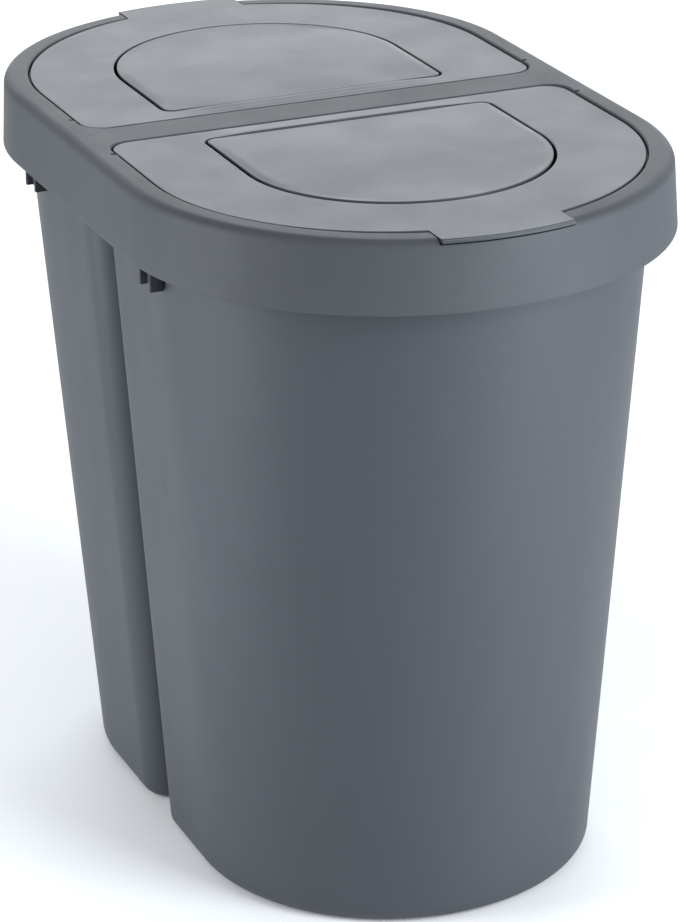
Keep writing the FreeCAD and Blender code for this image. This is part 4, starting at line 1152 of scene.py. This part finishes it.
def add_lid_fittings(shell, size):
    """What is moulded under a lid: stiffening rib, hinge pins, ears and the spring's stop."""
    ware = settings("hardware")
    bottom = size.top - size.thickness
    rib = band((size.rib_reach - size.rib_width, size.rib_reach), size.rib_bottom,
               bottom + size.thickness / 2, settings("frame").centre, size.rib_start,
               size.rib_width / 4)
    shell.add_solid(rib, wrap_rows=True)
    outline = eye_outline(ware.rod_reach, ware.rod_height, size.eye_radius, size.ear_back)
    for hand in HANDS:
        pin = sorted((hand * (size.reach - size.thickness / 2), hand * size.pin_tip))
        shell.add_solid(round_bar(*pin, size.pin_reach, size.pin_height, size.pin_radius,
                                  size.pin_radius / 5), wrap_columns=True)
        ear = sorted((hand * (size.ear_outer - size.ear_width), hand * size.ear_outer))
        shell.add_solid(slab(outline, *ear, size.ear_width / 10), wrap_columns=True)
    tip = ware.rod_reach - ware.fixed_leg
    shell.add_solid(rounded_box((ware.coil_start - ware.stop_half, tip, spring_seat()),
                                (ware.coil_start + ware.stop_half, tip + ware.stop_depth,
                                 bottom + size.thickness / 2), ware.lug_round), wrap_columns=True)


def flap_height(size, y):
    """Rise of a push flap's top along y, with t from 0 at its hinged edge to 1 at its round end.

    crown x sin(pi t / (2 x peak)) up to t = 2 x peak, less dish x sin(pi (t - s) / (1 - s)) from
    the dish's start s on.
    """
    way = np.clip((y - size.flat) / (size.centre + size.reach - size.flat), 0, 1)
    rise = size.crown * np.sin(np.pi * np.clip(way / (2 * CROWN_PEAK), 0, 1))
    dip = size.dish * np.sin(np.pi * np.clip((way - DISH_START) / (1 - DISH_START), 0, 1))
    return rise - dip


def flap_grid(size):
    """A push flap in one closed grid: top from its middle out, rounded edge, and underside.

    Its rings are its outline moved in by a distance; the rise of flap_height fades out towards
    the edge, and a smooth step sinks the hinged edge.
    """
    outline = Half(size.reach, size.centre, size.flat, size.corner)
    edge = size.edge_round
    bottom = size.top - size.thickness
    lid = settings("lid")

    # Four level rows inside the edge, its quarter circle, and its upright and lower faces
    cosine, sine = arc_rows(edge, 90, 0)
    inset = np.array([-size.corner * 0.8, -size.corner * 0.55, -edge * 2, -edge * 1.3])
    crowned = np.array([1, 0.8, 0.15, 0])
    level = len(inset)
    distance = np.concatenate((inset, cosine - edge, [0, -edge / 3]))
    height = np.concatenate((np.full(level, size.top), size.top - edge + sine,
                             [bottom + edge / 3, bottom]))
    rim = grid_of(half_outline(grown(outline, distance), lid.tab_half,
                               lid.hood_run * FLAP_RUN, plain_stops()), height)
    middle = shrunk(rim[0], np.concatenate(([0], np.linspace(0.05, 0.98, FLAP_ROWS))))
    below = shrunk(rim[-1], UNDER_FLAP_PARTS)
    upper = np.concatenate((middle, rim[:level]))
    blend = np.concatenate((np.ones(len(middle)), crowned))[:, None]
    upper[..., 2] += flap_height(size, upper[..., 1]) * blend
    grid = np.concatenate((upper, rim[level:], below))
    sunk = size.hinge_drop * (1 - eased((grid[..., 1] - size.flat) / size.hinge_run))
    grid[..., 2] -= sunk * np.clip((grid[..., 2] - bottom) / size.thickness, 0, 1)
    return grid


def add_flap_fittings(shell, size):
    """What is moulded under a push flap: two knuckles and the spring's stop."""
    ware = settings("hardware")
    top = size.top - size.thickness + size.edge_round
    outline = knuckle_outline(ware.rod_reach, ware.rod_height, settings("lid").eye_radius, top)
    for hand in HANDS:
        ends = sorted((hand * (size.knuckle_outer - size.knuckle_width),
                       hand * size.knuckle_outer))
        shell.add_solid(slab(outline, *ends, size.knuckle_width / 12), wrap_columns=True)
    middle = ware.coil_start + ware.coil_length
    tip = ware.rod_reach + ware.moving_leg
    shell.add_solid(rounded_box((middle - ware.stop_half, tip - ware.stop_depth, spring_seat()),
                                (middle + ware.stop_half, tip, top), ware.lug_round),
                    wrap_columns=True)


def wire_grid(path, outward, radius):
    """A round wire along a path: at each point a circle across the path, measured from outward."""
    along = np.gradient(path, axis=0)
    along /= np.linalg.norm(along, axis=1, keepdims=True)
    beside = np.cross(along, outward)
    beside /= np.linalg.norm(beside, axis=1, keepdims=True)
    outward = np.cross(beside, along)
    around = np.linspace(0, 2 * np.pi, WIRE_SIDES, endpoint=False)[None, :, None]
    ring = outward[:, None] * np.cos(around) + beside[:, None] * np.sin(around)
    return capped(path[:, None] + radius * ring)


def coil_points(size, start_turn, end_turn, steps):
    """Points of the coil and the way out from its axis.

    A turn is once round (0, coil radius x cos a, coil radius x sin a) as x moves by the pitch.
    """
    turns = np.linspace(start_turn, end_turn, steps)
    angle = 2 * np.pi * turns - np.pi / 2
    outward = np.column_stack((0 * angle, np.cos(angle), np.sin(angle)))
    pitch = size.coil_length / COIL_TURNS
    middle = np.column_stack((size.coil_start + pitch * turns, np.full(steps, size.rod_reach),
                              np.full(steps, size.rod_height)))
    return middle + size.coil_radius * outward, outward


def straight(start, end):
    """Points from one place towards another, start + (end - start) x part, without the last."""
    part = np.linspace(0, 1, LEG_POINTS, endpoint=False)[:, None]
    return start + (np.asarray(end) - start) * part


def spring_grids(size):
    """The coil with its fixed leg, and the moving leg with the last part of a turn."""
    parting = COIL_TURNS - RIDING_TURN
    coil, outward = coil_points(size, 0, parting, COIL_POINTS)
    leg = straight(coil[0] - (0, size.fixed_leg, 0), coil[0])
    down = np.tile([0.0, 0.0, -1.0], (len(leg), 1))
    fixed = wire_grid(np.concatenate((leg, coil)), np.concatenate((down, outward)),
                      size.wire_radius)
    last, outward = coil_points(size, parting, COIL_TURNS, RIDING_POINTS)
    leg = straight(last[-1] + (0, size.moving_leg, 0), last[-1])[::-1]
    moving = wire_grid(np.concatenate((last, leg)), np.concatenate((outward, down)),
                       size.wire_radius)
    return fixed, moving


def add_lug(shell, size, bucket):
    """Two upright ribs and the plate behind them, following the leaning wall of a bucket.

    At a height z the wall is at base + (rim - base) x z / rim height, and a gap is left to it.
    """
    def wall_at(height):
        """How far out the wall's side is at a height."""
        part = height / bucket.rim_height
        return bucket.base_reach + (bucket.rim_reach - bucket.base_reach) * part + size.lug_gap

    foot, head = wall_at(lug_low.z), wall_at(lug_high.z)
    rib = size.lug_rib
    for near, far, reach in ((lug_low.y, lug_low.y + rib, lug_high.x),
                             (lug_high.y - rib, lug_high.y, lug_high.x),
                             (lug_low.y + rib / 2, lug_high.y - rib / 2, head + size.lug_back)):
        shell.add_solid(rounded_box((foot, near, lug_low.z), (reach, far, lug_high.z),
                                    size.lug_round, head - foot), wrap_columns=True)


# ------------------------------------------------------------------ operators
class BIN_OT_buckets(bpy.types.Operator):
    """Build the two buckets"""
    bl_idname = "recycling_bin.buckets"
    bl_label = "Buckets"
    bl_options = {"REGISTER", "UNDO"}

    def execute(self, context):
        for side, name in HALVES:
            shell = Shell().add(bucket_grid(settings("bucket")), wrap_columns=True).turned(side)
            shell.piece(f"{name}_bucket", "buckets", "bucket_plastic", bucket_plastic(),
                        f"bucket_{name}")
        return {"FINISHED"}


class BIN_OT_lugs(bpy.types.Operator):
    """Build the lugs on the buckets' sides, dark with painted shade from under the frame's skirt
    """
    bl_idname = "recycling_bin.lugs"
    bl_label = "Lugs"
    bl_options = {"REGISTER", "UNDO"}

    def execute(self, context):
        for side, name in HALVES:
            for hand in HANDS:
                shell = Shell()
                add_lug(shell, settings("hardware"), settings("bucket"))
                shell.handed(hand).turned(side)
                place = "right" if hand * side > 0 else "left"
                shell.piece(f"{name}_{place}_lug", "buckets", "lug_plastic", lug_plastic(),
                            f"lug_{name}_{place}")
        return {"FINISHED"}


class BIN_OT_lid_frame(bpy.types.Operator):
    """Build the frame over both buckets"""
    bl_idname = "recycling_bin.lid_frame"
    bl_label = "Lid frame"
    bl_options = {"REGISTER", "UNDO"}

    def execute(self, context):
        size = settings("frame")
        top, skirt, bottom = frame_grids(size)
        shell = Shell().add(top, wrap_columns=True).add(skirt).add(bottom, wrap_columns=True)
        ledge = band((size.ledge_reach, size.opening_reach + size.wall / 2),
                     size.ledge_top - size.wall, size.ledge_top, size.centre, size.ledge_start,
                     size.wall / 5)
        shell.add_solid(ledge, wrap_rows=True)
        for post in upright_posts(rim_posts(size), size.rim_seat, size.top - size.wall,
                                  size.post_radius):
            shell.add_solid(post, wrap_columns=True)
        shell.both_halves().piece("lid_frame_shell", "frame", "frame_plastic", frame_plastic(),
                                  "lid_frame")
        return {"FINISHED"}


class BIN_OT_lids(bpy.types.Operator):
    """Build the two lids"""
    bl_idname = "recycling_bin.lids"
    bl_label = "Lids"
    bl_options = {"REGISTER", "UNDO"}

    def execute(self, context):
        size = settings("lid")
        for side, name in HALVES:
            shell = Shell().add(lid_grid(size), wrap_columns=True, wrap_rows=True)
            add_lid_fittings(shell, size)
            shell.turned(side).piece(f"{name}_lid_plate", f"{name}_lid", "lid_plastic",
                                     lid_plastic(), f"lid_{name}")
        return {"FINISHED"}


class BIN_OT_push_flaps(bpy.types.Operator):
    """Build the two push flaps"""
    bl_idname = "recycling_bin.push_flaps"
    bl_label = "Push flaps"
    bl_options = {"REGISTER", "UNDO"}

    def execute(self, context):
        size = settings("flap")
        for side, name in HALVES:
            shell = Shell().add(flap_grid(size), wrap_columns=True)
            add_flap_fittings(shell, size)
            shell.turned(side).piece(f"{name}_flap_plate", f"{name}_flap", "flap_plastic",
                                     lid_plastic(), f"push_flap_{name}")
        return {"FINISHED"}


class BIN_OT_hinge_rods(bpy.types.Operator):
    """Build the steel rods of the push flaps"""
    bl_idname = "recycling_bin.hinge_rods"
    bl_label = "Hinge rods"
    bl_options = {"REGISTER", "UNDO"}

    def execute(self, context):
        size = settings("hardware")
        for side, name in HALVES:
            rod = round_bar(-size.rod_half, size.rod_half, size.rod_reach, size.rod_height,
                            size.rod_radius, size.rod_radius / 4)
            shell = Shell().add_solid(rod, wrap_columns=True).turned(side)
            shell.piece(f"{name}_rod", f"{name}_lid", "rod_steel", steel(), f"hinge_rod_{name}")
        return {"FINISHED"}


class BIN_OT_springs(bpy.types.Operator):
    """Build the springs that bring the push flaps back"""
    bl_idname = "recycling_bin.springs"
    bl_label = "Springs"
    bl_options = {"REGISTER", "UNDO"}

    def execute(self, context):
        fixed, moving = spring_grids(settings("hardware"))
        for side, name in HALVES:
            coil = Shell().add_solid(fixed, wrap_columns=True).turned(side)
            coil.piece(f"{name}_spring_coil", f"{name}_lid", "spring_steel", steel(),
                       f"spring_{name}")
            leg = Shell().add_solid(moving, wrap_columns=True).turned(side)
            leg.piece(f"{name}_spring_leg", f"{name}_flap", "spring_steel", steel())
        return {"FINISHED"}


# ------------------------------------------------------------------ studio
CAMERA_PLACE = Vector((-0.9118, -2.2290, 1.2065))
CAMERA_TARGET = Vector((0.0195, 0.0346, 0.2224))
CAMERA_ROLL = -0.01692              # radians, about the way that the camera looks
FOCAL_IN_PIXELS = 3808.9            # of a picture 922 pixels high
PICTURE_HEIGHT = 922
SENSOR_WIDTH = 36.0                 # millimetres, along the picture's long side


def add_camera():
    """The camera of the photograph: placed, aimed and rolled by a fit to the bin's outlines."""
    data = bpy.data.cameras.new("camera")
    camera = bpy.data.objects.new("camera", data)
    bpy.context.scene.collection.objects.link(camera)
    ahead = (CAMERA_TARGET - CAMERA_PLACE).normalized()
    level_right = ahead.cross(Vector((0, 0, 1))).normalized()
    level_up = level_right.cross(ahead)
    cosine, sine = math.cos(CAMERA_ROLL), math.sin(CAMERA_ROLL)
    right = cosine * level_right + sine * level_up
    up = cosine * level_up - sine * level_right
    turn = Matrix((right, up, -ahead)).transposed().to_4x4()
    camera.matrix_world = Matrix.Translation(CAMERA_PLACE) @ turn
    data.sensor_width = SENSOR_WIDTH
    data.lens = FOCAL_IN_PIXELS / PICTURE_HEIGHT * SENSOR_WIDTH
    bpy.context.scene.camera = camera


LIGHT_COLOUR = (0.925, 0.968, 1.0)
SURROUNDINGS_COLOUR = (0.96, 0.98, 1.0, 1.0)
LIGHT_AIM = Vector((0.0, 0.0, 0.3))
# Each light's name, place, width and height
LIGHTS = (("back", (0.912, 2.22, 1.1), 3.0, 1.2),
          ("high_back", (0.76, 1.85, 1.9), 2.6, 1.0),
          ("right", (0.789, -1.507, 0.8), 0.8, 1.6),
          ("near_right", (0.813, -0.883, 0.5), 0.5, 1.0),
          ("near_left", (-1.199, 0.05, 0.5), 0.5, 1.0))


def add_light(name, place, width, height, energy):
    """A soft rectangular light that faces the bin."""
    data = bpy.data.lights.new(name, "AREA")
    data.shape = "RECTANGLE"
    data.size, data.size_y = width, height
    data.energy = energy
    data.color = LIGHT_COLOUR
    light = bpy.data.objects.new(name, data)
    bpy.context.scene.collection.objects.link(light)
    turn = (LIGHT_AIM - Vector(place)).to_track_quat("-Z", "Y").to_matrix().to_4x4()
    light.matrix_world = Matrix.Translation(place) @ turn


def add_floor(look):
    """The pale floor: a level square that faces up, a little below the bin's feet."""
    x, y = np.meshgrid(*[np.linspace(-look.floor_half, look.floor_half, FLOOR_LINES)] * 2)
    square = np.stack((x, y, np.full(x.shape, -FLOOR_DROP)), axis=-1)
    floor = bpy.data.objects.new("floor", Shell().add(square, outwards=False).mesh("floor"))
    floor.data.materials.append(studio_floor("studio_floor", look.floor_colour))
    bpy.context.scene.collection.objects.link(floor)


class BIN_OT_studio(bpy.types.Operator):
    """Build the pale floor, the soft lights and the camera"""
    bl_idname = "recycling_bin.studio"
    bl_label = "Studio"
    bl_options = {"REGISTER", "UNDO"}

    def execute(self, context):
        look = settings("studio")
        add_floor(look)
        for name, place, width, height in LIGHTS:
            add_light(f"{name}_light", place, width, height, getattr(look, f"{name}_power"))
        world = context.scene.world or bpy.data.worlds.new("surroundings")
        context.scene.world = world
        world.use_nodes = True
        background = world.node_tree.nodes["Background"]
        background.inputs["Color"].default_value = SURROUNDINGS_COLOUR
        background.inputs["Strength"].default_value = look.world_strength
        context.scene.view_settings.view_transform = "Standard"
        add_camera()
        return {"FINISHED"}


# ------------------------------------------------------------------ sidebar and registration
OPERATORS = (BIN_OT_buckets, BIN_OT_lugs, BIN_OT_lid_frame, BIN_OT_lids, BIN_OT_push_flaps,
             BIN_OT_hinge_rods, BIN_OT_springs, BIN_OT_studio)


class BIN_PT_sidebar(bpy.types.Panel):
    """Sizes, colours and builders of the recycling bin"""
    bl_idname = "BIN_PT_sidebar"
    bl_label = "Recycling bin"
    bl_space_type = "VIEW_3D"
    bl_region_type = "UI"
    bl_category = "Recycling bin"

    def draw(self, context):
        for group, kind in GROUPS.items():
            box = self.layout.box()
            box.label(text=kind.__doc__)
            for name in kind.__annotations__:
                box.prop(getattr(context.scene, group), name)
        for operator in OPERATORS:
            self.layout.operator(operator.bl_idname)


def register():
    """Adds the groups of values, the operators and the sidebar to Blender."""
    for group in GROUPS.values():
        bpy.utils.register_class(group)
    for name, group in GROUPS.items():
        setattr(bpy.types.Scene, name, PointerProperty(type=group))
    for operator in (*OPERATORS, BIN_PT_sidebar):
        bpy.utils.register_class(operator)


def unregister():
    """Takes them out again, last ones first."""
    for operator in (BIN_PT_sidebar, *reversed(OPERATORS)):
        bpy.utils.unregister_class(operator)
    for name in GROUPS:
        delattr(bpy.types.Scene, name)
    for group in GROUPS.values():
        bpy.utils.unregister_class(group)


def main():
    """Builds everything in order."""
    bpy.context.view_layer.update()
    register()
    for operator in OPERATORS:
        getattr(bpy.ops.recycling_bin, operator.bl_idname.split(".")[1])()


if __name__ == "__main__":
    main()
